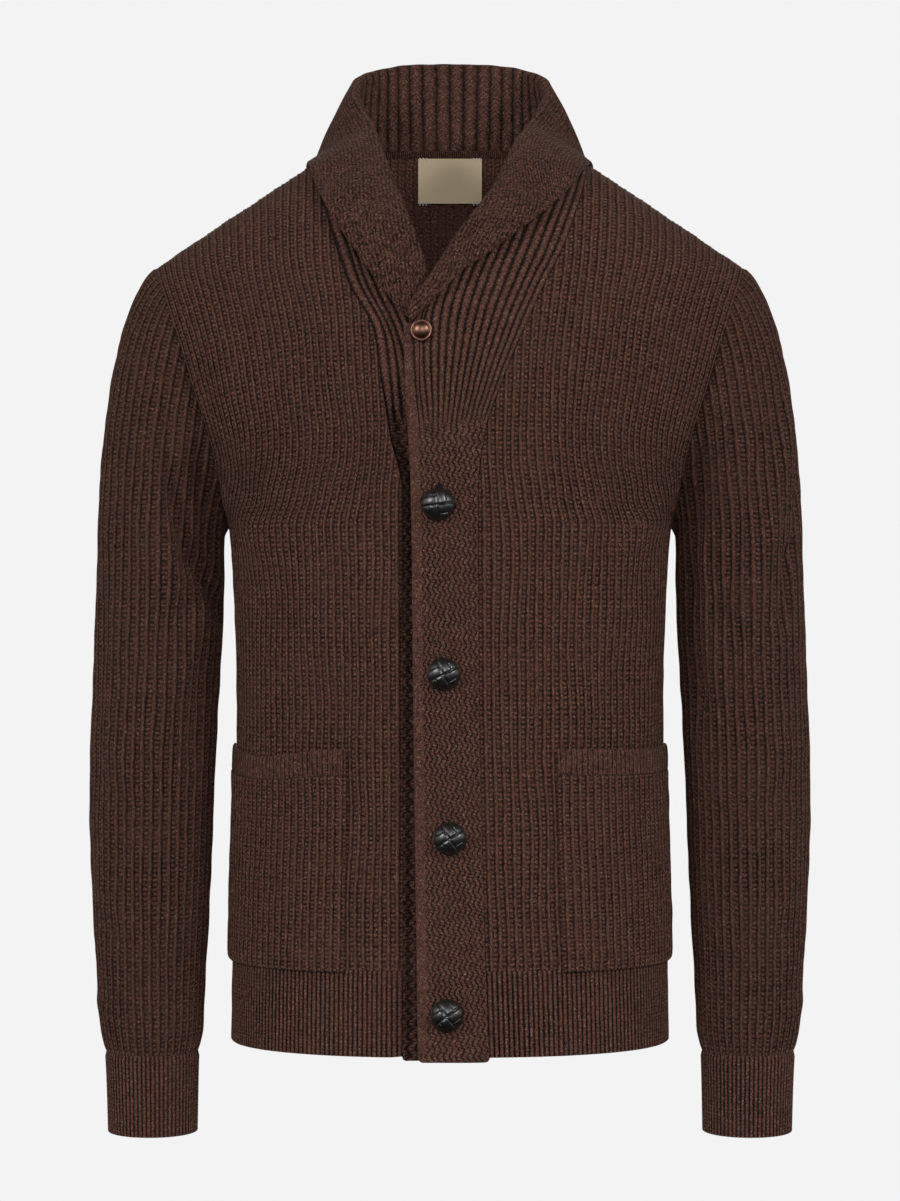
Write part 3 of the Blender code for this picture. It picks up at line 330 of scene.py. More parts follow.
# Right sleeve: an upright tube below the cap
Ring = namedtuple("Ring", "height x y half_width half_depth")
SLEEVE = [
    Ring(-293, 225.4, 0.0, 48.6, 62.0),
    Ring(-324, 226.0, -1.5, 49.2, 61.0),
    Ring(-386, 228.1, -4.5, 48.3, 58.0),
    Ring(-448, 230.1, -8.5, 47.2, 56.0),
    Ring(-510, 231.1, -12.0, 46.0, 53.0),
    Ring(-572, 231.3, -16.5, 43.7, 49.5),
    Ring(-619, 231.0, -20.5, 41.0, 45.5),
    Ring(-656, 230.4, -24.0, 38.8, 42.5),
    Ring(-671.5, 230.0, -25.5, 35.7, 38.5),
    Ring(-700, 229.5, -28.0, 34.5, 37.2),
    Ring(-733, 229.1, -30.5, 33.7, 36.4),
]
CAP_END = SLEEVE[0].height

# How the sleeve leaves the armhole under the arm, at the front or back, and at the shoulder
Leave = namedtuple("Leave", "x y z reach settle")
UNDERARM_LEAVE = Leave(0.7, 0.0, -0.7, 8.0, 8.0)
FRONT_LEAVE = Leave(0.62, 0.32, -0.72, 46.0, 60.0)
SHOULDER_LEAVE = Leave(0.83, 0.0, -0.56, 39.0, 90.0)

# Folds of the right sleeve, around it (0 under the arm, 0.5 outside) and by height
SleeveFold = namedtuple("SleeveFold", "around height half_around half_height depth")
SLEEVE_FOLDS = [
    SleeveFold(0.34, -190, 0.030, 90, -4.0),
    SleeveFold(0.42, -210, 0.032, 100, 3.0),
    SleeveFold(0.25, -270, 0.035, 80, 3.0),
    SleeveFold(0.17, -330, 0.030, 60, -3.0),
    SleeveFold(0.62, -240, 0.040, 110, 3.2),
    SleeveFold(0.72, -290, 0.035, 100, -3.4),
    SleeveFold(0.50, -470, 0.050, 90, 2.0),
    SleeveFold(0.30, -520, 0.045, 70, -2.0),
    SleeveFold(0.85, -430, 0.040, 80, 2.4),
]
# Slanting creases of the sleeve, as shares of the way round and heights
SLEEVE_CREASES = [
    Crease(0.10, -300, 0.36, -400, 10, -1.6),
    Crease(0.08, -330, 0.30, -452, 11, 1.5),
    Crease(0.90, -305, 0.66, -410, 10, -1.6),
    Crease(0.16, -470, 0.42, -430, 12, 1.4),
    Crease(0.12, -500, 0.40, -468, 10, -1.5),
    Crease(0.88, -480, 0.60, -440, 12, 1.3),
    Crease(0.20, -600, 0.44, -566, 11, -1.2),
    Crease(0.60, -640, 0.84, -604, 10, 1.2),
    Crease(0.30, -646, 0.52, -628, 8, 1.3),
    Crease(0.83, -170, 0.82, -350, 7, -3.4),
    Crease(0.78, -190, 0.77, -330, 7, 2.6),
]
# Folds from each armhole down the upper arm, where the cloth is pulled together under the arm
ARM_FOLDS = {
    "left": [
        Crease(0.275, -160, 0.205, -238, 6, -4.5),
        Crease(0.215, -226, 0.145, -300, 8, -8.5),
        Crease(0.160, -288, 0.010, -338, 10, -8.5),
        Crease(0.170, -200, 0.090, -300, 13, -5.5),
        Crease(0.245, -250, 0.190, -330, 9, 3.0),
        Crease(0.110, -350, 0.130, -450, 9, -3.0),
        Crease(0.400, -300, 0.420, -470, 9, -2.2),
        Crease(0.300, -440, 0.120, -478, 9, -2.0),
    ],
    "right": [
        Crease(0.430, -160, 0.330, -270, 8, 3.6),
        Crease(0.330, -262, 0.250, -345, 9, 3.8),
        Crease(0.460, -210, 0.375, -300, 7, -3.6),
        Crease(0.380, -280, 0.345, -345, 6, -4.5),
        Crease(0.270, -220, 0.200, -320, 8, -3.4),
        Crease(0.095, -290, 0.110, -420, 10, -5.5),
        Crease(0.180, -180, 0.110, -290, 8, -3.6),
        Crease(0.210, -350, 0.240, -440, 9, -2.6),
    ],
}

Spot = namedtuple("Spot", "x height")
BUTTONS = [Spot(-8.9, -252.4), Spot(-4.8, -378.8), Spot(-0.2, -501.4), Spot(-2.2, -632.3)]
SNAP = Spot(-21.0, -124.8)
LAPEL_SPOT = Spot(-16.0, -98.0)
BUTTON_TURNS = (8.0, 28.0, 34.0, 38.0)
HOLE_SHIFT = (1.5, 0.0, 0.0, 0.0)  # how far aside of its button each buttonhole runs
HOLE_RISE = (3.6, 0.0, 0.0, 0.0)

# Flat cuts in metres: width, length and area
Cut = namedtuple("Cut", "width length area")

# Tones that the main colours are mottled with
WARM_FIBRE = (0.126, 0.050, 0.037)
DARK_FIBRE = (0.024, 0.0115, 0.0092)
FADED_WOOL = (0.085, 0.041, 0.031)
WOOL_SHEEN = (0.70, 0.45, 0.36, 1.0)
WORN_LEATHER = (0.0085, 0.0078, 0.0076)
DULL_COPPER = (0.20, 0.098, 0.068)
BRIGHT_SATIN = (0.84, 0.68, 0.47)
COTTON = (0.86, 0.83, 0.76)
# Painted shade: the near-black of the patches that stand for the buttonholes' slits.
HOLE_SHADE = (0.004, 0.003, 0.003)

# Studio, in metres; power names the setting that a light takes its strength from
Light = namedtuple("Light", "name place size power")
LIGHTS = [
    Light("front_light", (0.2, -3.3, 0.55), 1.0, "front"),
    Light("key_left", (-2.3, -2.2, 0.9), 0.7, "key"),
    Light("key_right", (2.3, -2.1, 1.1), 0.7, "key"),
    Light("side_left", (-2.6, -0.2, 0.2), 1.4, "side"),
    Light("side_right", (2.6, -0.2, 0.2), 1.4, "side"),
    Light("back_light", (0.0, 3.3, 0.9), 1.8, "back"),
]
LIGHT_TARGET = (0.0, 0.0, -0.3)
FLOOR_RADIUS = 1.1
FLOOR_Z = -1.0
FLOOR_COLOUR = (0.8, 0.8, 0.8, 1.0)
BACKDROP_RADIUS = 7.0
WHITE = (1.0, 1.0, 1.0, 1.0)
BLACK = (0.0, 0.0, 0.0, 1.0)


# ------------------------------------------------------------------ settings


class CardiganKnit(bpy.types.PropertyGroup):
    """Heights of the raised stitches."""

    rib: FloatProperty(
        name="Ribs", description="Height of the body's ribs", default=1.5 * MM, unit="LENGTH"
    )
    sleeve_rib: FloatProperty(
        name="Sleeve ribs", description="Height of the sleeves' ribs", default=1.5 * MM, unit="LENGTH"
    )
    welt: FloatProperty(
        name="Welts", description="Height of the fine ribs of hem and cuffs", default=0.8 * MM, unit="LENGTH"
    )
    deep: FloatProperty(
        name="Deep ribs", description="Height of the ribs beside the lapels", default=1.6 * MM, unit="LENGTH"
    )
    zigzag: FloatProperty(
        name="Herringbone",
        description="Height of the zigzag ribs of the bands",
        default=0.9 * MM,
        unit="LENGTH",
    )
    stand: FloatProperty(
        name="Stand",
        description="Height of the wide ribs inside the collar",
        default=0.75 * MM,
        unit="LENGTH",
    )
    waver: FloatProperty(
        name="Waver", description="How far the hand of the cloth strays", default=0.45 * MM, unit="LENGTH"
    )


class CardiganColours(bpy.types.PropertyGroup):
    """Colours of the yarn and trim."""

    yarn: FloatVectorProperty(
        name="Yarn", description="Main colour of the wool", subtype="COLOR", default=(0.096, 0.0442, 0.0320)
    )
    shade: FloatVectorProperty(
        name="Shade",
        description="Wool deep between the stitches",
        subtype="COLOR",
        default=(0.0055, 0.0026, 0.0021),
    )
    fleck: FloatVectorProperty(
        name="Fleck", description="Light fibres in the wool", subtype="COLOR", default=(0.285, 0.178, 0.128)
    )
    leather: FloatVectorProperty(
        name="Leather", description="Buttons", subtype="COLOR", default=(0.0042, 0.0038, 0.0038)
    )
    copper: FloatVectorProperty(
        name="Copper", description="Press stud", subtype="COLOR", default=(0.31, 0.165, 0.118)
    )
    satin: FloatVectorProperty(
        name="Satin", description="Label", subtype="COLOR", default=(0.78, 0.62, 0.41)
    )


class CardiganStudio(bpy.types.PropertyGroup):
    """Camera and light."""

    distance: FloatProperty(
        name="Distance", description="From the camera to the middle", default=2.7, unit="LENGTH"
    )
    height: FloatProperty(
        name="Height", description="Height of the camera", default=-0.3241, unit="LENGTH"
    )
    view_height: FloatProperty(
        name="View", description="Height of the picture at the middle", default=0.93678, unit="LENGTH"
    )
    front: FloatProperty(
        name="Front", description="Strength of the front light", default=26.0, unit="POWER"
    )
    key: FloatProperty(
        name="Key", description="Strength of the two lights beside the camera", default=42.0, unit="POWER"
    )
    side: FloatProperty(
        name="Side", description="Strength of the side lights", default=6.0, unit="POWER"
    )
    back: FloatProperty(
        name="Back", description="Strength of the light behind", default=60.0, unit="POWER"
    )
    sky: FloatProperty(
        name="Sky", description="Strength of the even light all round", default=0.26, min=0.0
    )
    paper: FloatProperty(
        name="Paper", description="Brightness of the backdrop", default=0.896, min=0.0
    )


# ------------------------------------------------------------------ curves and surfaces


def smooth(x, xs, ys):
    """Values at x of a curve through (xs, ys) that never overshoots them."""
    x, xs, ys = (np.asarray(a, float) for a in (x, xs, ys))
    rise = np.diff(ys) / np.diff(xs)
    slope = np.zeros_like(ys)
    same = rise[:-1] * rise[1:] > 0
    slope[1:-1][same] = (2 * rise[:-1] * rise[1:])[same] / (rise[:-1] + rise[1:])[same]
    slope[0], slope[-1] = rise[0], rise[-1]
    i = np.clip(np.searchsorted(xs, x) - 1, 0, len(xs) - 2)
    step = xs[i + 1] - xs[i]
    t = np.clip((x - xs[i]) / step, 0, 1)
    start = (1 + 2 * t) * (1 - t) ** 2 * ys[i] + t * (1 - t) ** 2 * step * slope[i]
    return start + t * t * (3 - 2 * t) * ys[i + 1] + t * t * (t - 1) * step * slope[i + 1]


def read(table, field, height):
    rows = sorted(table, key=lambda row: row.height)
    return smooth(height, [row.height for row in rows], [getattr(row, field) for row in rows])


def unit(v):
    return v / np.maximum(np.linalg.norm(v, axis=-1, keepdims=True), 1e-12)


def step_up(t):
    t = np.clip(t, 0, 1)
    return t * t * (3 - 2 * t)


def lengths(grid, axis):
    """Lengths along a grid's rows or columns, from its first point."""
    steps = np.linalg.norm(np.diff(grid, axis=axis), axis=-1)
    start = np.zeros_like(np.take(steps, [0], axis=axis))
    return np.concatenate([start, np.cumsum(steps, axis=axis)], axis=axis)


def stray(a, b, seed):
    """A slow uneven wander between -1 and 1 over two lengths in millimetres."""
    waves = ((31.0, 47.0), (-53.0, 71.0), (19.0, -38.0), (97.0, 29.0))
    total = sum(np.sin(2 * math.pi * (a / p + b / q) + 1.7 * seed + k) for k, (p, q) in enumerate(waves))
    return total / len(waves)


def crease_depth(a, b, creases, scale=1.0):
    """Depth of a table's creases at places (a, b); scale turns a into millimetres."""
    total = np.zeros(np.broadcast(a, b).shape)
    for crease in creases:
        run = np.array([(crease.x1 - crease.x0) * scale, crease.height1 - crease.height0])
        span = float(run @ run)
        off_a = (a - crease.x0) * scale
        off_b = b - crease.height0
        along = (off_a * run[0] + off_b * run[1]) / span
        aside = (off_a * run[1] - off_b * run[0]) / math.sqrt(span)
        taper = step_up((along + 0.15) / 0.4) * step_up((1.15 - along) / 0.4)
        total = total + crease.depth * taper * np.exp(-((aside / crease.half_width) ** 2))
    return total


def shoulder(x, front):
    """Height of the shoulder line at x, carried on across the neck opening."""
    x = np.abs(x)
    out = NECK_Z - SHOULDER_FALL * (x - NECK_X)
    inside = np.clip((NECK_X - x) / (NECK_X if front else NAPE_X), 0, 1)
    across = NECK_Z + (10.0 if front else NAPE_Z - NECK_Z) * inside**0.8
    return np.where(x > NECK_X, out, across)


def depth(x, z, front):
    """How far the body's surface stands before or behind the middle, at x and height z."""
    half = read(BODY, "half_width", z)
    power = read(BODY, "roundness", z)
    flat = np.clip(1 - np.clip(np.abs(x) / half, 0, 1) ** power, 0, 1) ** (1 / power)
    up = np.clip((z - ROUND_FROM) / (shoulder(x, front) - ROUND_FROM), 0, 1)
    over = (1 - up**ROUND_POWER) ** (1 / ROUND_POWER)
    full = read(BODY, "front" if front else "back", z)
    for fold in FRONT_FOLDS if front else BACK_FOLDS:
        across = ((x - fold.x) / fold.half_x) ** 2
        along = ((z - fold.height) / fold.half_height) ** 2
        full = full + fold.depth * np.exp(-across - along)
    return full * flat * over


def body(x, z, front):
    """Points on the body's surface and their outward directions."""
    x, z = np.broadcast_arrays(np.asarray(x, float), np.asarray(z, float))
    side = np.where(x < 0, -1.0, 1.0)
    small = 0.05
    here = depth(x, z, front)
    slope_x = (here - depth(x - side * small, z, front)) / (side * small)
    slope_z = (here - depth(x, z - small, front)) / small
    facing = -1.0 if front else 1.0
    normal = np.stack([-slope_x, facing * np.ones_like(here), -slope_z], axis=-1)
    normal[..., 1] = np.where(here < SIDE, 0.0, normal[..., 1])
    return np.stack([x, facing * here, z], axis=-1), unit(normal)


def panel_edge(z):
    """x of the side seam, or of the armhole above it."""
    return np.where(z < UNDERARM, read(BODY, "half_width", z), read(ARMHOLE, "x", z))


def ring_table(front, levels=120, steps=160):
    """x at each share of the way round from the middle to the panel's edge, by height."""
    heights = np.linspace(BAND_BOTTOM - 1, NAPE_Z, levels)
    shares = np.linspace(0, 1, steps)
    table = []
    for z in heights:
        edge = float(panel_edge(z))
        half = float(read(BODY, "half_width", z))
        power = float(read(BODY, "roundness", z))
        deep = float(read(BODY, "front" if front else "back", z))
        last = math.asin(min(1.0, (edge / half) ** (power / 2)))
        angle = np.linspace(0, last, 600)
        x = half * np.sin(angle) ** (2 / power)
        y = deep * np.cos(angle) ** (2 / power)
        run = np.concatenate([[0], np.cumsum(np.hypot(np.diff(x), np.diff(y)))])
        table.append(np.interp(shares, run / run[-1], x))
    return heights, shares, np.array(table)


RINGS = {True: ring_table(True), False: ring_table(False)}


def across(share, z, front):
    """x at a share of the way from the middle (0) to the side seam or armhole (1, or -1)."""
    heights, shares, table = RINGS[front]
    share, z = np.broadcast_arrays(np.asarray(share, float), np.asarray(z, float))
    row = np.clip((z - heights[0]) / (heights[1] - heights[0]), 0, len(heights) - 1.001)
    col = np.clip(np.abs(share) / (shares[1] - shares[0]), 0, len(shares) - 1.001)
    i, j = row.astype(int), col.astype(int)
    u, v = row - i, col - j
    low = table[i, j] * (1 - v) + table[i, j + 1] * v
    high = table[i + 1, j] * (1 - v) + table[i + 1, j + 1] * v
    return np.sign(share) * (low * (1 - u) + high * u)


def solve(passed, low, high, count):
    """For each column, the least value between low and high from which passed holds."""
    low, high = np.full(count, float(low)), np.full(count, float(high))
    for _ in range(45):
        middle = (low + high) / 2
        over = passed(middle)
        low, high = np.where(over, low, middle), np.where(over, middle, high)
    return (low + high) / 2


# ------------------------------------------------------------------ cloth


def cloth(name, outer, inner, uv, finish, tube=False):
    """One closed piece of cloth from its outer points, coarser inner ones and places in the knit.

    Both grids have the same rows. The inner one has every so many of the outer columns, and uv
    has one column more than a tube's outer points.
    """
    rows, cols = outer.shape[:2]
    inner_cols = inner.shape[1]
    step = cols // inner_cols if tube else (cols - 1) // (inner_cols - 1)
    spans = cols if tube else cols - 1
    inner_spans = spans // step
    points = np.vstack([outer.reshape(-1, 3), inner.reshape(-1, 3)]) * MM
    faces, places = [], []

    def at(i, j):
        return i * cols + j % cols

    def under(i, k):
        return rows * cols + i * inner_cols + k % inner_cols

    def add(corners):
        faces.append([place[0] for place in corners])
        places.extend(place[1] for place in corners)

    def top(i, j):
        return at(i, j), uv[i, j]

    def bottom(i, k):
        return under(i, k), uv[i, k * step]

    for i in range(rows - 1):
        for j in range(spans):
            add([top(i, j), top(i, j + 1), top(i + 1, j + 1), top(i + 1, j)])
        for k in range(inner_spans):
            add([bottom(i, k), bottom(i + 1, k), bottom(i + 1, k + 1), bottom(i, k + 1)])
    for k in range(inner_spans):
        edge = range(k * step, (k + 1) * step + 1)
        add([top(0, j) for j in reversed(edge)] + [bottom(0, k), bottom(0, k + 1)])
        last = rows - 1
        add([top(last, j) for j in edge] + [bottom(last, k + 1), bottom(last, k)])
    if not tube:
        end = inner_spans
        for i in range(rows - 1):
            add([top(i, 0), top(i + 1, 0), bottom(i + 1, 0), bottom(i, 0)])
            add([top(i + 1, spans), top(i, spans), bottom(i, end), bottom(i + 1, end)])
    piece = finished(name, points, faces, np.array(places, np.float32), finish)
    # The inner skin is marked for painted light: its wool is drawn lighter than the outside.
    paint(piece, "reverse", np.arange(len(points)) >= rows * cols)
    return piece


def finished(name, points, faces, places, finish):
    """An object of given points and faces, turned the right way out, with its UV map and finish."""
    mesh = bpy.data.meshes.new(name)
    mesh.from_pydata(points.tolist(), [], faces)
    layer = mesh.uv_layers.new(name="knit")
    layer.data.foreach_set("uv", places.ravel())
    work = bmesh.new()
    work.from_mesh(mesh)
    if work.calc_volume(signed=True) < 0:
        bmesh.ops.reverse_faces(work, faces=work.faces)
    work.to_mesh(mesh)
    work.free()
    mesh.materials.append(finish)
    mesh.shade_smooth()
    mesh.set_sharp_from_angle(angle=math.radians(62))
    piece = bpy.data.objects.new(name, mesh)
    bpy.context.scene.collection.objects.link(piece)
    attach(piece, BODY_NAME)
    return piece


def rib_wave(phase, sharpness=0.75):
    """Height from 0 to 1 of ribs one phase apart: round ridges between narrow valleys."""
    return np.abs(np.sin(math.pi * phase)) ** sharpness


def wide_rib(phase):
    """A raised chain with lower bars beside it, as a half cardigan stitch makes."""
    chain = np.clip(np.cos(2 * math.pi * (phase - 0.60)), 0, 1) ** 1.1
    bars = np.clip(np.cos(2 * math.pi * (phase - 0.12)), 0, 1) ** 0.7
    return np.maximum(chain, 0.55 * bars)


def edge_fade(distance, reach):
    return step_up(distance / reach)


def rounded(distance, wall):
    """How open a wall is at a distance from its free edge, which is rolled round."""
    t = np.clip(distance / wall, 0, 1)
    return np.maximum(np.sqrt(np.clip(1 - (1 - t) ** 2, 0, 1)), 0.12)


def skins(point, normal, rise, keep, openness=1.0, wall=WALL):
    """Outer and inner points of a cloth; openness closes both on its middle at a free edge."""
    middle = point - normal * wall / 2
    half = np.asarray(openness) * (wall / 2)
    outer = middle + normal * (half + rise * openness)[..., None]
    inner = middle - normal * (half * np.ones(point.shape[:2]))[..., None]
    return outer, inner[:, ::keep]


def grid_normals(grid, tube):
    """Directions across a grid: from its rows' way to its columns' way."""
    down = np.gradient(grid, axis=0)
    if tube:
        turn = np.roll(grid, -1, axis=1) - np.roll(grid, 1, axis=1)
    else:
        turn = np.gradient(grid, axis=1)
    return unit(np.cross(down, turn))


def mirrored(points, facing):
    return points * np.array([facing, 1.0, 1.0])


# ------------------------------------------------------------------ body panels


def seam_x(side, z):
    return smooth(z, [row.height for row in BANDS], [getattr(row, side) for row in BANDS])


def first_share(side):
    """Share of a front panel's first column, beside the band."""
    goal = seam_x(side, HEM_TOP)
    return float(solve(lambda share: across(share, HEM_TOP, True) > goal, 0, 1, 1)[0])


def side_share():
    return min(1.0, 1 - SEAM / 2 / HALF_ROUND)


def front_x(share, z, side):
    """x of a front panel's columns, the first of which runs up beside the band."""
    held = np.minimum(z, SEAM_TURNS)
    first = first_share(side)
    shift = seam_x(side, held) + SEAM / 2 - across(first, held, True)
    inner = (side_share() - share) / (side_share() - first)
    return across(share, z, True) + shift * inner**2


def panel_heights(top, low_rows, high_rows):
    """Heights of a panel's rows at each column, from the hem seam to the column's top."""
    low = np.linspace(HEM_TOP + SEAM / 2, WAIST, low_rows)
    share = np.linspace(0, 1, high_rows + 1)[1:]
    share = 1 - (1 - share) ** 1.15
    return np.vstack([np.repeat(low[:, None], len(top), axis=1), WAIST + (top - WAIST) * share[:, None]])


def neck_height(x):
    """Height of the back neck seam at x."""
    feet = NAPE + RIGHT_NECK[::-1]
    return smooth(np.abs(x), [row.foot_x for row in feet], [row.foot_z for row in feet])


def below_lapel(z):
    """Share from 0 to 1 of the fold along the underlap that is reached at height z."""
    return step_up((VALLEY_TOP - z) / VALLEY_FADE)


def knit_panel(name, x, z, front, ribs, facing, finish, rib_height, seed, valley=0.0):
    """A ribbed panel over the body: a column of points for each place across every rib."""
    inside = edge_fade(x - x[:, :1], 18) * edge_fade(x[:, -1:] - x, 18) * edge_fade(z[-1:] - z, 20)
    x = x + RIB_DRIFT * stray(x * 0.4, z * 0.3, seed + 5) * inside * edge_fade(z - z[:1], 20)
    point, normal = body(x, z, front)
    run_up = lengths(point, 0)
    run_across = lengths(point, 1)
    phase = np.linspace(0, ribs, x.shape[1])[None, :] * np.ones_like(z)
    width = run_across[:, -1:]
    seams = edge_fade(run_across, 2.6) * edge_fade(width - run_across, 2.6)
    ends = edge_fade(run_up[-1:] - run_up, 3.0) * edge_fade(run_up, 2.0)
    at_ridge = step_up((np.abs(x[-1:]) - NECK_X + 6) / 8)
    raised = 1 - at_ridge * (1 - edge_fade(run_up[-1:] - run_up - RIDGE_FLAT, RIDGE_FADE))
    wander = stray(run_across, run_up, seed) * bpy.context.scene.cardigan_knit.waver / MM
    rise = (rib_height / MM * wide_rib(phase) - RIB_SINK) * seams * ends * raised - 0.7 * (1 - seams * ends)
    creases = crease_depth(x * facing, z, FRONT_CREASES if front else BACK_CREASES)
    lift = (creases + wander) * edge_fade(run_across, 12) * edge_fade(width - run_across, 12)
    lift = lift * edge_fade(run_up[-1:] - run_up, 12)
    lift = lift - valley * np.exp(-((run_across / VALLEY_WIDTH) ** 2)) * below_lapel(z)
    point = point + normal * lift[..., None]
    keep = x.shape[1] // ribs
    outer, inner = skins(point, normal, rise, keep)
    uv = np.stack([phase, run_up / BODY_COURSE], axis=-1)
    return cloth(name, mirrored(outer, facing), mirrored(inner, facing), uv, finish)


def front_panel(side, facing, finish):
    share = np.linspace(first_share(side), side_share(), PANEL_STEP * FRONT_RIBS + 1)

    def above(z):
        x = front_x(share, z, side)
        at_band = (z > SEAM_TURNS) & (x < seam_x(side, z) + SEAM / 2)
        return at_band | (z > shoulder(x, True))

    z = panel_heights(solve(above, -300, 60, len(share)), 49, 82)
    x = front_x(share[None, :], z, side)
    rib = bpy.context.scene.cardigan_knit.rib
    valley = VALLEY if side == "left" else 0.0
    piece = knit_panel(f"front_{side}_cloth", x, z, True, FRONT_RIBS, facing, finish, rib, facing, valley)
    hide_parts(f"front_{side}")
    return piece


def back_panel(finish):
    share = np.linspace(-side_share(), side_share(), PANEL_STEP * BACK_RIBS + 1)

    def above(z):
        x = np.abs(across(share, z, False))
        return np.where(x < NECK_X, z > neck_height(x), z > shoulder(x, False))

    z = panel_heights(solve(above, -300, 60, len(share)), 45, 75)
    x = across(share[None, :], z, False)
    rib = bpy.context.scene.cardigan_knit.rib
    piece = knit_panel("back_cloth", x, z, False, BACK_RIBS, 1.0, finish, rib, 3)
    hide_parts("back")
    return piece


def hem(name, share, front, ribs, finish, side=None, facing=1.0):
    """A fine rib below a panel, with a rolled lower edge."""
    heights = np.array([0, 0.3, 0.8, 1.6, *np.linspace(4, HEM_TOP - HEM_BOTTOM - 3, 18)])
    heights = np.append(heights, [HEM_TOP - HEM_BOTTOM - 1.2, HEM_TOP - HEM_BOTTOM - SEAM / 2])
    z = (HEM_BOTTOM + heights)[:, None] * np.ones((1, len(share)))
    x = front_x(share[None, :], z, side) if side else across(share[None, :], z, front)
    point, normal = body(x, z, front)
    phase = np.linspace(0, ribs, len(share))[None, :] * np.ones_like(z)
    run = lengths(point, 1)
    seams = edge_fade(run, 2.4) * edge_fade(run[:, -1:] - run, 2.4)
    top = edge_fade(HEM_TOP - z, 3.0)
    rise = (bpy.context.scene.cardigan_knit.welt / MM * rib_wave(phase) - WELT_SINK) * seams * top
    rise = rise - 0.6 * (1 - seams * top)
    openness = rounded(z - HEM_BOTTOM + 0.05, WALL / 2)
    wander = stray(run, z, 5) * 0.25
    if side == "left":
        wander = wander - VALLEY * np.exp(-((run / VALLEY_WIDTH) ** 2))
    outer, inner = skins(point + normal * wander[..., None], normal, rise, FINE_STEP, openness)
    uv = np.stack([phase, z / WELT_COURSE], axis=-1)
    piece = cloth(name + "_cloth", mirrored(outer, facing), mirrored(inner, facing), uv, finish)
    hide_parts(name)
    return piece


# ------------------------------------------------------------------ sleeves


def leave(around):
    """Directions and lengths with which the sleeve's columns leave the armhole and settle."""
    rise = 2 * np.sin(math.pi * around) ** 2
    low = step_up(rise)[:, None]
    high = step_up(rise - 1)[:, None]
    under, ahead, top = (np.array(v) for v in (UNDERARM_LEAVE, FRONT_LEAVE, SHOULDER_LEAVE))
    mixed = (under * (1 - low) + ahead * low) * (1 - high) + top * high
    direction = mixed[:, :3].copy()
    direction[:, 1] *= -np.sin(2 * math.pi * around)
    return unit(direction), mixed[:, 3:4], mixed[:, 4:5]


def armhole(around):
    """Points round the right armhole and the outward directions of the body there."""
    tip = float(solve(lambda z: z > shoulder(read(ARMHOLE, "x", z), True), UNDERARM, 0, 1)[0])
    half = np.minimum(around, 1 - around)
    share = smooth(half, [row.around for row in ARMHOLE_ROWS], [row.share for row in ARMHOLE_ROWS])
    z = WAIST + (tip - WAIST) * share
    x = read(ARMHOLE, "x", z)
    front, front_normal = body(x, z, True)
    back, back_normal = body(x, z, False)
    ahead = (around <= 0.5)[:, None]
    point = np.where(ahead, front, back)
    normal = np.where(ahead, front_normal, back_normal)
    point[(half < 1e-6) | (half > 0.5 - 1e-6), 1] = 0
    return point, normal


def sleeve_ring(around, z):
    """Points of the sleeve's tube at height z."""
    angle = math.pi + 2 * math.pi * around
    values = [read(SLEEVE, field, z) for field in ("x", "y", "half_width", "half_depth")]
    x, y, half_width, half_depth = values
    full = np.zeros_like(around)
    for fold in SLEEVE_FOLDS:
        off = (around - fold.around) / fold.half_around
        full = full + fold.depth * np.exp(-(off**2) - ((z - fold.height) / fold.half_height) ** 2)
    x = x + (half_width + full) * np.cos(angle)
    return np.stack([x, y + (half_depth + full) * np.sin(angle), np.full_like(around, z)], axis=-1)


def sleeve_points(count, cap_rows, tube_heights):
    around = np.arange(count) / count
    start, body_normal = armhole(around)
    direction, reach, settle = leave(around)
    way = unit(np.roll(start, -1, axis=0) - np.roll(start, 1, axis=0))
    across_walls = unit(body_normal + unit(np.cross(direction, way)))
    start = start + unit(np.cross(way, across_walls)) * SEAM
    end = sleeve_ring(around, CAP_END)
    rows = []
    for t in np.linspace(0, 1, cap_rows):
        bend = start + direction * reach
        down = end + np.array([0.0, 0.0, 1.0]) * settle
        point = (1 - t) ** 3 * start + 3 * t * (1 - t) ** 2 * bend
        rows.append(point + 3 * t * t * (1 - t) * down + t**3 * end)
    rows += [sleeve_ring(around, z) for z in tube_heights]
    grid = np.array(rows)
    normal = grid_normals(grid, True)
    normal[0] = across_walls
    return grid, normal


def sleeve_phase(grid):
    """Place of each point in the sleeve's ribs, which run down it side by side from the armhole."""
    columns = grid.shape[1]
    half = columns // 2
    around = np.arange(columns) / columns
    plain = np.arange(columns) / SLEEVE_STEP
    outer = grid[:, half]
    order = np.argsort(outer[:, 2])
    phase = np.repeat(plain[None, :], len(grid), axis=0)
    near_underarm = step_up((0.16 - np.minimum(around, 1 - around)) / 0.10)
    ring = grid[CAP_ROWS - 1]
    for side, turn in ((slice(half, 0, -1), -1.0), (slice(half, columns), 1.0)):
        from_line = np.abs(plain[side] - plain[half])
        ring_chord = np.linalg.norm(ring[side] - ring[half], axis=-1)
        ring_in = np.maximum.accumulate(ring[half, 0] - ring[side][:, 0])
        for i in range(CAP_ROWS):
            point = grid[i, side]
            chord = np.linalg.norm(point[:, None] - outer[None], axis=-1).min(axis=1)
            inward = np.interp(point[:, 2], outer[order, 2], outer[order, 0]) - point[:, 0]
            close = np.interp(chord, np.maximum.accumulate(ring_chord), from_line)
            wide = np.interp(inward, ring_in, from_line)
            mixed = close + (wide - close) * step_up((chord - 25) / 45)
            keep = np.maximum(near_underarm[side], step_up((i / (CAP_ROWS - 1) - 0.6) / 0.4))
            phase[i, side] = plain[half] + turn * (mixed + (from_line - mixed) * keep)
    return phase


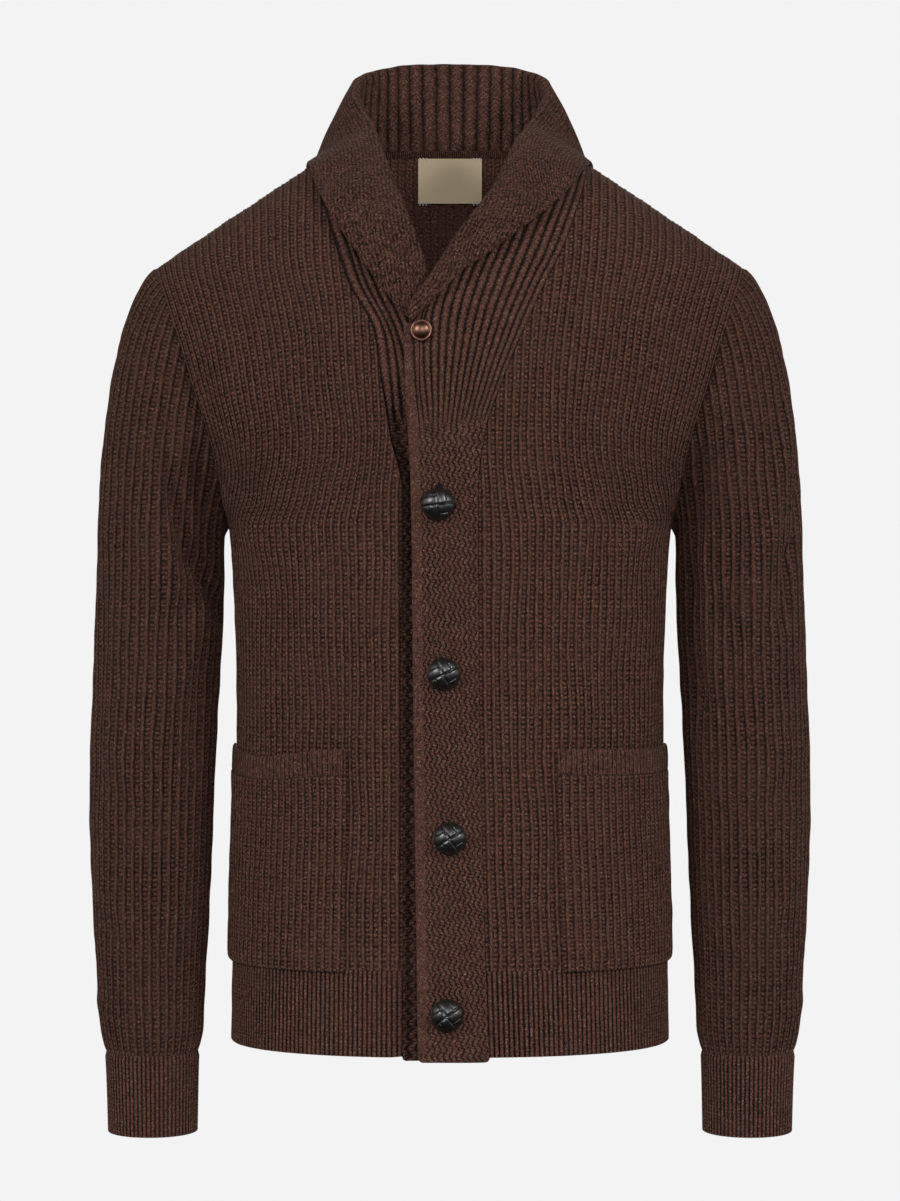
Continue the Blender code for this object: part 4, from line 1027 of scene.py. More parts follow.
def sleeve(side, facing, finish):
    columns = SLEEVE_STEP * SLEEVE_RIBS
    heights = np.linspace(CAP_END, CUFF_TOP + SEAM / 2, 79)[1:]
    grid, normal = sleeve_points(columns, CAP_ROWS, heights)
    around = np.arange(columns) / columns
    run = lengths(grid, 0)
    knit = bpy.context.scene.cardigan_knit
    ends = edge_fade(run, 3.0) * edge_fade(run[-1:] - run, 3.0)
    inside = (np.sin(math.pi * around) ** 0.5)[None, :]
    inside = inside * edge_fade(run - 10, 30) * edge_fade(run[-1:] - run, 30)
    phase = sleeve_phase(grid) + 0.12 * stray(around[None, :] * 170, run * 0.45, 21) * inside
    rise = (knit.sleeve_rib / MM * wide_rib(phase) - RIB_SINK) * ends - 0.5 * (1 - ends)
    ring_length = 2 * math.pi * SLEEVE[4].half_depth
    wander = stray(around[None, :] * ring_length, run, 7) * knit.waver / MM
    creases = crease_depth(around[None, :], grid[..., 2], SLEEVE_CREASES + ARM_FOLDS[side], ring_length)
    lift = (wander + creases) * edge_fade(run, 14) * edge_fade(run[-1:] - run, 8)
    outer, inner = skins(grid + normal * lift[..., None], normal, rise, SLEEVE_STEP)
    phase = np.hstack([phase, np.full((len(run), 1), float(SLEEVE_RIBS))])
    up = run[-1:] - run
    uv = np.stack([phase, np.hstack([up, up[:, :1]]) / BODY_COURSE], axis=-1)
    name = f"sleeve_{side}"
    piece = cloth(name + "_cloth", mirrored(outer, facing), mirrored(inner, facing), uv, finish, True)
    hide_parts(name)
    return piece


def cuff(side, facing, finish):
    columns = FINE_STEP * CUFF_RIBS
    around = np.arange(columns) / columns
    drop = np.array([SEAM / 2, 1.2, *np.linspace(4, 57, 18), 59.9, 60.7, 61.2, 61.5])
    grid = np.array([sleeve_ring(around, CUFF_TOP - d) for d in drop])
    normal = grid_normals(grid, True)
    phase = np.arange(columns + 1) / FINE_STEP
    top = edge_fade(drop, 3.0)[:, None]
    rise = bpy.context.scene.cardigan_knit.welt / MM * rib_wave(phase[None, :-1]) * top - 0.5 * (1 - top)
    openness = rounded(CUFF_TOP - CUFF_BOTTOM - drop + 0.05, WALL / 2)[:, None]
    outer, inner = skins(grid, normal, rise, FINE_STEP, openness)
    uv = np.stack(np.broadcast_arrays(phase[None, :], -drop[:, None] / WELT_COURSE), axis=-1)
    name = f"cuff_{side}"
    piece = cloth(name + "_cloth", mirrored(outer, facing), mirrored(inner, facing), uv, finish, True)
    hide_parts(name)
    return piece


# ------------------------------------------------------------------ bands and collar


def band_lift(x, z):
    """How far the button band stands off the body: over the underlap, and over the left lapel."""
    inward = seam_x("right", z) - x
    off = ((x - LAPEL_SPOT.x) / 30) ** 2 + ((z - LAPEL_SPOT.height) / 40) ** 2
    lapel = LAPEL_LIFT * np.exp(-off) * step_up(inward / LAPEL_BEND)
    return BAND_LIFT * step_up(inward / BAND_BEND) + lapel


def underlap_lift(x, z):
    """The underlap sinks behind the button band; x counts from the left side."""
    low = below_lapel(z)
    inward = seam_x("left", z) - x
    shallow = UNDERLAP_SINK * step_up(inward / BAND_BEND)
    deep = VALLEY + (UNDERLAP_DEEP - VALLEY) * step_up(inward / UNDERLAP_BEND)
    return -(shallow * (1 - low) + deep * low)


def zigzag(v):
    """A wave of straight slopes between -1 and 1, one turn to each whole v."""
    return 4 * np.abs(v - np.floor(v + 0.5)) - 1


def band(side, facing, lift, lapel, ribs, columns, finish):
    """A band: racked ribs below, deep straight ribs above, and a plain strip at its free edge."""
    share = np.linspace(0, 1, columns)
    feet = sorted([(facing * row.foot_x, row.foot_z) for row in lapel] + [(NECK_X, NECK_Z)])
    xs, zs = zip(*feet)

    def column_x(z):
        seam = seam_x(side, z)
        return seam - SEAM / 2 - share * (seam - seam_x(f"{side}_free", z) - SEAM)

    def above(z):
        return z > smooth(column_x(z), xs, zs) - SEAM / 2

    top = solve(above, RIBS_START, 40, columns)
    low = np.array([0, 0.3, 0.8, 1.6, *np.arange(3, RIBS_START - BAND_BOTTOM, BAND_COURSE / 2)])
    climb = np.linspace(0, 1, 90)[1:]
    wide = seam_x(side, BAND_BOTTOM) - seam_x(f"{side}_free", BAND_BOTTOM)
    corner = np.clip(np.minimum(share, 1 - share) * wide / BAND_CORNER, 0, 1)
    foot = BAND_CORNER * (1 - np.sqrt(1 - (1 - corner) ** 2))
    z = np.vstack([
        BAND_BOTTOM + low[:, None] + foot[None, :] * edge_fade(25 - low[:, None], 22),
        RIBS_START + (top - RIBS_START) * climb[:, None],
    ])
    x = np.array([column_x(row) for row in z])
    point, normal = body(x, z, True)
    point = point + normal * lift(x, z)[..., None]
    run = lengths(point, 1)
    width = run[:, -1:]
    up = lengths(point, 0)
    knit = bpy.context.scene.cardigan_knit
    from_margin = width - run - BAND_MARGIN
    straight = from_margin / ((width - BAND_MARGIN) / ribs)
    turned = step_up((z - RIBS_START - 0.25 * x + 8) / 16)
    courses = (z - BAND_BOTTOM) / BAND_COURSE
    phase = straight + RACK * zigzag(courses / RACK_COURSES) * (1 - turned)
    ridge = rib_wave(phase, 0.5) * (1 - turned) * knit.zigzag / MM
    dense = straight * DEEP_SHARE
    ridge = ridge + rib_wave(dense, 0.7) * turned * knit.deep / MM
    margin = edge_fade(from_margin + 1.5, 3.0)
    crown = edge_fade(up[-1:] - up, 4.0)
    beside = edge_fade(run, 2.2)
    rise = (ridge * margin + 0.6 * (1 - margin)) * crown * beside - 1.7 * (1 - beside * crown)
    ends = rounded(z - z[:1] + 0.05, 1.6) * rounded(width - run + 0.05, 1.6)
    wander = stray(run, z, 9 + facing) * 0.35
    outer, inner = skins(point + normal * wander[..., None], normal, rise, BAND_STEP, ends)
    uv = np.stack([phase, courses], axis=-1)
    name = f"band_{side}"
    piece = cloth(name + "_cloth", mirrored(outer, facing), mirrored(inner, facing), uv, finish)
    paint(piece, "deep", np.concatenate([dense.ravel(), dense[:, ::BAND_STEP].ravel()]))
    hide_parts(name)
    return piece


def collar_feet():
    """Points where each section of the collar is sewn on, and the outward directions there."""
    rows = [(RIGHT_LAPEL, 1.0, band_lift), (RIGHT_NECK + NAPE + LEFT_NECK, 1.0, None)]
    rows.append((LEFT_LAPEL, -1.0, underlap_lift))
    found = []
    for sections, facing, lift in rows:
        x = np.array([facing * row.foot_x for row in sections])
        z = np.array([row.foot_z for row in sections])
        point, normal = body(x, z, lift is not None)
        if lift:
            point = point + normal * lift(x, z)[..., None]
        found.append(np.hstack([mirrored(point, facing), mirrored(normal, facing)]))
    return np.vstack(found)


STAND_STEPS = 16
ROLL_STEPS = 8
FALL_STEPS = 26
COLLAR_STEP = 2


def collar(finish):
    """The shawl collar: its stand, the roll, and the fall that lies on the chest and shoulders."""
    rows = RIGHT_LAPEL + RIGHT_NECK + NAPE + LEFT_NECK + LEFT_LAPEL
    index = np.arange(len(rows))
    first, last = len(RIGHT_LAPEL), len(rows) - len(LEFT_LAPEL) - 1
    stations = np.concatenate([
        np.linspace(0, first, 86)[:-1],
        np.linspace(first, last, 8 * STAND_RIBS + 1),
        np.linspace(last, len(rows) - 1, 86)[1:],
    ])
    values = np.array([smooth(stations, index, column) for column in np.array(rows).T])
    feet = collar_feet()
    foot = np.stack([smooth(stations, index, column) for column in feet.T], axis=-1)
    start, foot_normal = foot[:, :3], unit(foot[:, 3:])
    start = start - foot_normal * WALL / 2
    roll, edge = values[2:5].T, values[5:8].T
    way = unit(np.gradient(roll, axis=0))
    ahead = unit(roll - edge)
    out = unit(np.cross(ahead, way))
    outward = roll[:, 0] * out[:, 0] + (roll[:, 1] - 20.0) * out[:, 1]
    out = out * np.where(outward < 0, -1.0, 1.0)[:, None]
    centre = roll - ahead * ROLL_RADIUS
    lines = []
    for t in np.linspace(0, 1, STAND_STEPS + 1)[:-1]:
        lines.append(start + (centre - out * ROLL_RADIUS - start) * t)
    for angle in np.linspace(-math.pi / 2, math.pi / 2, ROLL_STEPS + 1):
        lines.append(centre + ROLL_RADIUS * (math.cos(angle) * ahead + math.sin(angle) * out))
    down = lines[-1]
    length = np.linalg.norm(edge - down, axis=1, keepdims=True)
    beside_neck = np.exp(-(((edge[:, 1:2] - 12) / 32) ** 2))
    bulge = (FALL_BULGE - SIDE_HOLLOW * beside_neck) * length * np.minimum(1.0, length / LONG_FALL)
    for t in 1 - (1 - np.linspace(0, 1, FALL_STEPS + 1)[1:]) ** 1.5:
        lines.append(down + (edge - down) * t + out * bulge * 4 * t * (1 - t))
    grid = np.array(lines)
    normal = unit(np.cross(np.gradient(grid, axis=0), np.gradient(grid, axis=1)))
    normal[0] = -foot_normal
    run = lengths(grid, 0)
    total = run[-1:]
    stand = np.arange(len(grid))[:, None] <= STAND_STEPS + ROLL_STEPS // 2
    stand_length = run[STAND_STEPS + ROLL_STEPS // 2][None, :]
    on_neck = step_up((stations - first + 0.6) / 0.6) * step_up((last + 0.6 - stations) / 0.6)
    phase = (stations - first) * STAND_RIBS / (last - first)
    fading = step_up((stand_length - run) / 7.0) * edge_fade(run, 3.0)
    knit = bpy.context.scene.cardigan_knit
    rise = knit.stand / MM * rib_wave(phase, 0.8)[None, :] * on_neck[None, :] * np.where(stand, fading, 0)
    along = lengths(roll[None], 1)
    wander = stray(along, run, 11) * 0.5 * edge_fade(run, 10)
    ends = rounded(total - run + 0.05, COLLAR_WALL / 2)
    tips = rounded(np.minimum(along, along[:, -1:] - along) + 0.05, COLLAR_WALL / 2)
    point = grid + normal * (wander + COLLAR_WALL / 2)[..., None]
    outer, inner = skins(point, normal, rise, COLLAR_STEP, ends * tips, COLLAR_WALL)
    purl = np.stack(np.broadcast_arrays(along / PURL_STITCH, run / PURL_STITCH), axis=-1)
    piece = cloth("collar_cloth", outer, inner, purl, finish)
    shares = np.where(stand, 1.0, 0.0) * on_neck[None, :] * np.ones_like(run)
    paint(piece, "stand", np.concatenate([shares.ravel(), shares[:, ::COLLAR_STEP].ravel() * 0]))
    ribs = phase[None, :] * np.ones_like(run)
    paint(piece, "rib", np.concatenate([ribs.ravel(), ribs[:, ::COLLAR_STEP].ravel()]))
    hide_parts("collar")
    return piece


def paint(piece, name, values):
    """Keeps one number at each point of a piece for its material to read."""
    attribute = piece.data.attributes.new(name, "FLOAT", "POINT")
    attribute.data.foreach_set("value", np.asarray(values, np.float32))


# ------------------------------------------------------------------ pockets


def pocket(side, facing, finish):
    """A patch pocket with a fine rib at its mouth, sewn on over the front panel's ribs."""
    first, last = first_share(side), side_share()
    shares = np.linspace(first, last, 2 * FRONT_RIBS + 1)[::2]
    height = POCKET_TOP - POCKET_WELT
    inner = int(np.argmin(np.abs(front_x(shares, height, side) - POCKET_INNER_X)))
    ribs = FRONT_RIBS - inner
    share = np.linspace(shares[inner], last, POCKET_STEP * ribs + 1)
    z = np.concatenate([
        POCKET_FOOT + np.array([0, 0.3, 0.8, 1.6, 3.0]),
        np.linspace(POCKET_FOOT + 5, POCKET_TOP - POCKET_WELT - 2, 44),
        POCKET_TOP - POCKET_WELT + np.array([-1, 0, 1, 2]),
        np.linspace(POCKET_TOP - POCKET_WELT + 4, POCKET_TOP - 3, 6),
        POCKET_TOP - np.array([1.6, 0.8, 0.3, 0]),
    ])[:, None] * np.ones((1, len(share)))
    sag = POCKET_SAG[side] * np.sin(math.pi * np.linspace(0, 1, len(share))) ** 2
    height = z
    z = z - sag * step_up((z - POCKET_TOP + 60) / 60)
    x = front_x(share[None, :], z, side)
    point, normal = body(x, z, True)
    run = lengths(point, 1)
    up = height - POCKET_FOOT
    down = POCKET_TOP - height
    phase = np.linspace(0, ribs, len(share))[None, :] * np.ones_like(z)
    knit = bpy.context.scene.cardigan_knit
    welt = step_up((height - POCKET_TOP + POCKET_WELT + 1) / 2)
    fold = np.exp(-(((height - POCKET_TOP + POCKET_WELT) / 1.3) ** 2))
    strip = edge_fade(run - 5.0, 2.5)
    body_rib = 0.85 * knit.rib / MM * wide_rib(phase) * (1 - welt)
    rise = (body_rib + knit.welt / MM * rib_wave(WELT_SHARE * phase) * welt) * strip + 0.5 * (1 - strip)
    edge = np.minimum(run, np.minimum(up, down))
    beside_strip = np.exp(-(((run - 6.6) / 1.1) ** 2)) * edge_fade(edge, 5.0)
    rise = rise * edge_fade(edge, 2.5) - 0.3 * fold - 1.2 * beside_strip
    seat = knit.rib / MM + 0.1 - RIB_SINK
    slack = (1.4 + 0.4 * POCKET_SAG[side]) * np.exp(-(((x - 100) / 30) ** 2) - ((z - POCKET_TOP) / 30) ** 2)
    wander = stray(run, z, 13 + facing) * 0.5
    lift = seat + POCKET_WALL + slack + (wander + 0.5) * edge_fade(edge, 10)
    ends = rounded(edge + 0.05, POCKET_WALL / 2)
    point = point + normal * lift[..., None]
    outer, inner_skin = skins(point, normal, rise, POCKET_STEP, ends, POCKET_WALL)
    on_welt = welt > 0.5
    ribs_across = np.where(on_welt, WELT_SHARE * phase, phase)
    uv = np.stack([ribs_across, np.where(on_welt, WELT_ROW, z / POCKET_COURSE)], axis=-1)
    piece = cloth(f"pocket_{side}_cloth", mirrored(outer, facing), mirrored(inner_skin, facing), uv, finish)
    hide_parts(f"pocket_{side}", f"pocket_welt_{side}")
    return piece


# ------------------------------------------------------------------ materials


class Value:
    """An output of a material's node that takes part in arithmetic."""

    def __init__(self, tree, socket):
        self.tree = tree
        self.socket = socket

    def maths(self, operation, *others):
        values = dict(enumerate([self, *others]))
        return self.tree.add("ShaderNodeMath", {"operation": operation}, values)

    def __add__(self, other):
        return self.maths("ADD", other)

    def __sub__(self, other):
        return self.maths("SUBTRACT", other)

    def __mul__(self, other):
        return self.maths("MULTIPLY", other)

    def __truediv__(self, other):
        return self.maths("DIVIDE", other)

    def __pow__(self, other):
        return self.maths("POWER", other)

    def __radd__(self, other):
        return self + other

    def __rmul__(self, other):
        return self * other

    def __rsub__(self, other):
        return self.tree.add("ShaderNodeMath", {"operation": "SUBTRACT"}, {0: other, 1: self})

    def __abs__(self):
        return self.maths("ABSOLUTE")

    def fraction(self):
        return self.maths("FRACT")

    def most(self, other):
        return self.maths("MAXIMUM", other)

    def least(self, other):
        return self.maths("MINIMUM", other)

    def wave(self, shift=0.0):
        """A smooth wave from 0 to 1, highest where the value is a whole number past shift."""
        return ((self - shift) * (2 * math.pi)).maths("COSINE") * 0.5 + 0.5


class Finish:
    """One material's node tree."""

    def __init__(self, name, **constants):
        self.material = bpy.data.materials.new(name)
        self.material.use_nodes = True
        self.nodes = self.material.node_tree.nodes
        self.links = self.material.node_tree.links
        self.shader = self.nodes["Principled BSDF"]
        for socket, value in constants.items():
            self.shader.inputs[socket.replace("_", " ")].default_value = value

    def add(self, kind, settings=None, inputs=None, output=0):
        """Adds a node: its settings first, then the values or links of its sockets."""
        node = self.nodes.new(kind)
        for key, value in (settings or {}).items():
            if key == "stops":
                ramp = node.color_ramp
                ramp.elements[0].position, ramp.elements[0].color = value[0]
                ramp.elements[1].position, ramp.elements[1].color = value[-1]
                for position, colour in value[1:-1]:
                    ramp.elements.new(position).color = colour
            else:
                setattr(node, key, value)
        for key, value in (inputs or {}).items():
            if isinstance(value, Value):
                self.links.new(value.socket, node.inputs[key])
            else:
                node.inputs[key].default_value = value
        return Value(self, node.outputs[output])

    def set(self, socket, value):
        self.links.new(value.socket, self.shader.inputs[socket])

    def mix(self, share, low, high):
        """A colour between two others."""
        return self.add(
            "ShaderNodeMix", {"data_type": "RGBA"}, {"Factor": share, 6: colour(low), 7: colour(high)}, 2
        )

    def noise(self, scale, detail=2.0, roughness=0.5, stretch=None):
        place = self.add("ShaderNodeTexCoord", output="Object")
        if stretch:
            place = self.add("ShaderNodeMapping", None, {"Vector": place, "Scale": stretch})
        inputs = {"Vector": place, "Scale": scale, "Detail": detail, "Roughness": roughness}
        return self.add("ShaderNodeTexNoise", None, inputs)

    def knit_place(self):
        """Places in the knit: across in ribs and up in courses, a little uneven as by hand."""
        both = self.add("ShaderNodeUVMap", {"uv_map": "knit"})
        across_knit = self.add("ShaderNodeSeparateXYZ", None, {0: both}, 0)
        up = self.add("ShaderNodeSeparateXYZ", None, {0: both}, 1)
        sideways = self.noise(260.0, 1.0) - 0.5
        upward = self.noise(330.0, 1.0, 0.5, (1.0, 1.0, 0.8)) - 0.5
        return across_knit + sideways * 0.20, up + upward * 0.42

    def read(self, name):
        return self.add("ShaderNodeAttribute", {"attribute_name": name}, output="Fac")

    def bump(self, height, distance, strength=1.0):
        inputs = {"Strength": strength, "Distance": distance, "Height": height}
        self.set("Normal", self.add("ShaderNodeBump", None, inputs))


def colour(value):
    return value if isinstance(value, Value) else (*value, 1.0)


def rib_stitch(across_knit, up):
    """Light and height of the half cardigan rib: a chain on each ridge and bars between them."""
    slant = abs((across_knit - 0.10).fraction() - 0.5)
    chain = across_knit.wave(0.60) ** 1.6
    links = (up + slant * 1.2).wave() * 0.36 + 0.64
    between = across_knit.wave(0.10) * 0.45 + 0.55
    bars = (up + 0.5).wave() * 0.50 + 0.24
    groove = 1 - across_knit.wave(0.36) ** 6 * 0.62
    return (chain * links).most(between * bars) * groove


def welt_stitch(across_knit, up):
    """The fine rib of hem and cuffs."""
    slant = abs(across_knit.fraction() - 0.5)
    return (1 - across_knit.wave()) ** 0.8 * ((up + slant).wave() * 0.45 + 0.55)


def herringbone_stitch(finish):
    """Slanting strands along zigzag ribs, chains on the deep ribs above, and a plain edge."""
    across_knit, up = finish.knit_place()
    strand = (up + across_knit * 0.5).wave() * 0.55 + 0.45
    zigzags = (1 - across_knit.wave()) ** 0.42 * strand
    rib = finish.read("deep") + (finish.noise(260.0, 1.0) - 0.5) * 0.22
    slant = abs(rib.fraction() - 0.5)
    chain = (up * 0.66 + slant * 1.6).wave() * 0.5 + 0.5
    deep = ((up - BAND_COURSES) / 5.0).most(0.0).least(1.0)
    edge = (across_knit * -5.0).most(0.0).least(1.0)
    ribbed = zigzags * (1 - deep) + (1 - rib.wave()) ** 0.6 * chain * deep
    return ribbed * (1 - edge) + edge * 0.50


def underlap_painted_shade_stitch(finish):
    """The same stitch on the underlap, flatter and darker where it lies deep behind the button band; the
    darkening is painted shade.
    """
    up = finish.knit_place()[1]
    above = ((up - BAND_COURSES) / 20.0).most(0.0).least(1.0)
    return herringbone_stitch(finish) * (above * 0.42 + 0.58)


def purl_stitch(across_knit, up):
    """Small rounded loops in offset rows."""
    loops = (across_knit + up.maths("FLOOR") * 0.5).wave()
    rows = 1 - up.wave()
    return rows ** 0.6 * (loops * 0.6 + 0.4)


def wool(name, stitch, bump=1.3, light=1.0, tone=1.0):
    """Melange wool in one stitch: fibres of three tones, darker between the loops, with a soft fuzz."""
    tones = bpy.context.scene.cardigan_colours
    finish = Finish(
        name,
        Roughness=0.95,
        Specular_IOR_Level=0.10,
        Sheen_Weight=0.10,
        Sheen_Roughness=0.5,
        Sheen_Tint=WOOL_SHEEN,
    )
    height = stitch(finish)
    fibre = finish.noise(950.0, 2.0, 0.6)
    heather = finish.noise(310.0, 2.0, 0.5)
    patch = finish.noise(26.0, 2.0, 0.5)
    bases = (tones.yarn, tones.fleck, WARM_FIBRE)
    yarn, fleck, warm_yarn = ([part * tone for part in base] for base in bases)
    warm = finish.mix((heather - 0.42) * 4.0, yarn, warm_yarn)
    low = finish.mix((0.50 - fibre) * 4.5, warm, DARK_FIBRE)
    fibres = finish.mix((fibre - 0.57) * 6.0, low, fleck)
    # Painted light: the inner skin, seen inside the neck, is drawn lighter.
    reverse = finish.read("reverse") * 0.60
    lit = height * 1.78 * light + (heather - 0.5) * 0.8 + (fibre - 0.5) * 0.8 - 0.22 + reverse
    lit = lit.most(0.0).least(1.0)
    base = finish.mix(lit, tones.shade, fibres)
    finish.set("Base Color", finish.mix((patch - 0.35) * 0.5, base, FADED_WOOL))
    finish.bump(height + fibre * 0.5, bump * MM)
    return finish.material


def knit_wool(name, stitch, **settings):
    return wool(name, lambda finish: stitch(*finish.knit_place()), **settings)


def collar_stitch(finish):
    """Purl on the fall and braided ribs inside the stand."""
    across_knit, up = finish.knit_place()
    stand, rib = finish.read("stand"), finish.read("rib")
    crossed = (up * 0.8 + abs(rib.fraction() - 0.5) * 2.4).wave() * 0.35 + 0.45
    loose = finish.noise(190.0, 2.0, 0.6) - 0.5
    even = purl_stitch(across_knit + loose * 2.0, up + loose * 1.2)
    knots = ((finish.noise(470.0, 1.0, 0.5) - 0.34) * 3.0).most(0.0).least(1.0)
    plain = even * 0.52 + knots * 0.38
    braid = (1 - (rib + loose * 0.16).wave()) ** 0.32 * (crossed + knots * 0.22)
    return braid * 0.78 * stand + plain * (1 - stand)


def leather():
    finish = Finish(
        "plaited_leather",
        Specular_IOR_Level=1.0,
        Coat_Weight=0.45,
        Coat_Roughness=0.33,
    )
    base = bpy.context.scene.cardigan_colours.leather
    grain = finish.noise(1800.0, 3.0, 0.6)
    cloud = finish.noise(240.0, 2.0, 0.5)
    finish.set("Base Color", finish.mix(cloud, base, WORN_LEATHER))
    finish.set("Roughness", grain * 0.08 + 0.35)
    finish.bump(grain, 0.05 * MM, 0.4)
    return finish.material


def copper():
    finish = Finish("copper_cap", Metallic=1.0)
    base = bpy.context.scene.cardigan_colours.copper
    cloud = finish.noise(300.0, 2.0, 0.5)
    finish.set("Base Color", finish.mix(cloud, base, DULL_COPPER))
    finish.set("Roughness", finish.noise(500.0) * 0.1 + 0.36)
    return finish.material


def satin():
    finish = Finish("blank_satin", Sheen_Weight=0.2, Sheen_Roughness=0.4, Specular_IOR_Level=0.4)
    base = bpy.context.scene.cardigan_colours.satin
    weave = finish.noise(900.0, 2.0, 0.5, (0.25, 1.0, 3.0))
    cloud = finish.noise(60.0)
    finish.set("Base Color", finish.mix(weave * 0.5 + cloud * 0.4, base, BRIGHT_SATIN))
    finish.set("Roughness", weave * 0.2 + 0.38)
    finish.bump(weave, 0.08 * MM, 0.7)
    return finish.material


def thread(name, tone):
    finish = Finish(name, Roughness=0.8, Specular_IOR_Level=0.25)
    twist = finish.noise(2600.0, 2.0, 0.5)
    finish.set("Base Color", finish.mix(twist, [t * 0.6 for t in tone], tone))
    finish.bump(twist, 0.1 * MM)
    return finish.material


# ------------------------------------------------------------------ trim


def on_band(x, z, lift):
    point, normal = body(x, z, True)
    return point + normal * (band_lift(x, z) + lift)[..., None]


def seat_on_band(spot, lift):
    """Seat on the band at a spot: its point and the ways right, up and out from it."""
    reach = 6.0
    x = spot.x + reach * np.array([0, 1, -1, 0, 0])
    z = spot.height + reach * np.array([0, 0, 0, 1, -1])
    seat, right, left, upper, lower = on_band(x, z, np.full(5, lift))
    sideways = unit(right - left)
    normal = unit(np.cross(sideways, upper - lower))
    return seat, sideways, np.cross(normal, sideways), normal


def settle(piece, seat, sideways, upward, outward, turn=0.0):
    """Moves a piece modelled face up at the origin to its seat, and leaves its object there."""
    cosine, sine = math.cos(math.radians(turn)), math.sin(math.radians(turn))
    first = sideways * cosine + upward * sine
    second = upward * cosine - sideways * sine
    for vertex in piece.data.vertices:
        x, y, z = vertex.co
        vertex.co = seat * MM + first * x + second * y + outward * z
    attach(piece, BODY_NAME)


def new_piece(name, finish):
    """Names the piece that an operator has just added and gives it its finish."""
    piece = bpy.context.object
    piece.name = piece.data.name = name
    piece.data.materials.append(finish)
    return piece


def strap_height(share):
    """Height from 0 to 1 across a strap: a soft crown between rounded edges."""
    edge = min(share, 1 - share) / 0.17
    return float(step_up(edge)) * (1 - 0.25 * (2 * share - 1) ** 2)


def plait(x, y):
    """Height from 0 to 1 of four straps that pass over and under each other."""
    a, b = abs(x), abs(y)
    over, under, along = (a, b, b) if x * y > 0 else (b, a, a)
    if over < 1:
        return strap_height(over) * (0.55 + 0.45 * step_up(along / 0.22))
    return 0.62 * strap_height(under) if under < 1 else 0.0


def button(name, finish):
    """A leather button: a round dome of straps plaited over each other, pulled to its rim."""
    bpy.ops.mesh.primitive_uv_sphere_add(segments=144, ring_count=120, radius=BUTTON_RADIUS * MM)
    piece = new_piece(name, finish)
    radius = BUTTON_RADIUS
    strap = radius * BUTTON_STRAP
    for vertex in piece.data.vertices:
        x, y, z = (c / MM for c in vertex.co)
        r = math.hypot(x, y)
        if z < 0:
            vertex.co.z = z * BUTTON_BACK * MM
            continue
        lift = z / radius * BUTTON_HEIGHT
        relief = plait(x / strap, y / strap)
        lift = lift + (relief - 1) * BUTTON_RELIEF * step_up(lift / 3.0)
        squeeze = 1 - BUTTON_SQUEEZE * (1 - relief) * r / radius
        vertex.co = (x * squeeze * MM, y * squeeze * MM, lift * MM)
    piece.data.shade_smooth()
    return piece


def snap_cap(finish):
    """The press stud's cap: a rolled rim round a low dome."""
    bpy.ops.mesh.primitive_circle_add(vertices=72, radius=SNAP_RADIUS * SNAP_FOOT * MM, fill_type="NGON")
    piece = new_piece("snap_cap", finish)
    bpy.ops.object.mode_set(mode="EDIT")
    bpy.ops.mesh.select_all(action="SELECT")
    before, floor = SNAP_FOOT, 0.0
    for share, height in SNAP_RIM + SNAP_DOME:
        bpy.ops.mesh.extrude_region_move(TRANSFORM_OT_translate={"value": (0, 0, (height - floor) * MM)})
        bpy.ops.transform.resize(value=(share / before, share / before, 1))
        before, floor = share, height
    bpy.ops.object.mode_set(mode="OBJECT")
    work = bmesh.new()
    work.from_mesh(piece.data)
    bmesh.ops.recalc_face_normals(work, faces=work.faces)
    work.to_mesh(piece.data)
    work.free()
    piece.data.shade_smooth()
    return piece


def strap_of_points(name, points, radius, finish):
    """A thread along a line of points, round in section."""
    curve = bpy.data.curves.new(name, "CURVE")
    curve.dimensions = "3D"
    curve.bevel_depth = radius * MM
    curve.bevel_resolution = 2
    curve.use_fill_caps = True
    spline = curve.splines.new("POLY")
    spline.points.add(len(points) - 1)
    for place, point in zip(spline.points, points):
        place.co = (*(point * MM), 1.0)
    holder = bpy.data.objects.new(name, curve)
    bpy.context.scene.collection.objects.link(holder)
    mesh = bpy.data.meshes.new_from_object(holder)
    bpy.data.objects.remove(holder)
    mesh.materials.clear()
    mesh.materials.append(finish)
    mesh.shade_smooth()
    piece = bpy.data.objects.new(name, mesh)
    bpy.context.scene.collection.objects.link(piece)
    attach(piece, BODY_NAME)
    return piece


def lining(x, z):
    """Points on the inside of the back."""
    point, normal = body(x, z, False)
    return point - normal * WALL


def neck_strip(name, width, low, high, hang, wall, finish, columns, rows):
    """A strip inside the back below the neck seam; its lower edge hangs clear by hang."""
    x = np.linspace(-width / 2, width / 2, columns)[None, :] * np.ones((rows, 1))
    z = np.linspace(low, high, rows)[:, None] * np.ones((1, columns))
    point = lining(x, z)
    point[..., 1] -= STRIP_GAP + hang * (high - z) / (high - low)
    point[..., 0] = x
    point[..., 2] = z
    back = point.copy()
    front = point - np.array([0.0, wall, 0.0])
    uv = np.stack([x / 1.7, z / 1.7], axis=-1)
    return cloth(name, front, back, uv, finish)


def label_stitches():
    """Short stitches that hold the label at its four corners, three at each."""
    lines = []
    for side in (-1.0, 1.0):
        for corner, way in ((LABEL_TOP, -1.0), (LABEL_BOTTOM, 1.0)):
            for step in range(3):
                x = side * (LABEL_WIDTH / 2 - 1.6 - 2.6 * step)
                z = corner + way * np.array([-1.3, 0.3, 2.0])
                lines.append((np.full(3, x) + side * np.array([0.5, 0.0, -0.3]), z))
    stitches = []
    for x, z in lines:
        point = lining(x, z)
        hang = LABEL_HANG * (LABEL_TOP - z) / (LABEL_TOP - LABEL_BOTTOM)
        y = point[:, 1] - STRIP_GAP - hang - 0.75
        y = y + np.array([0.75, 0.0, 0.4])
        stitches.append(np.stack([x, y, z], axis=-1))
    return stitches


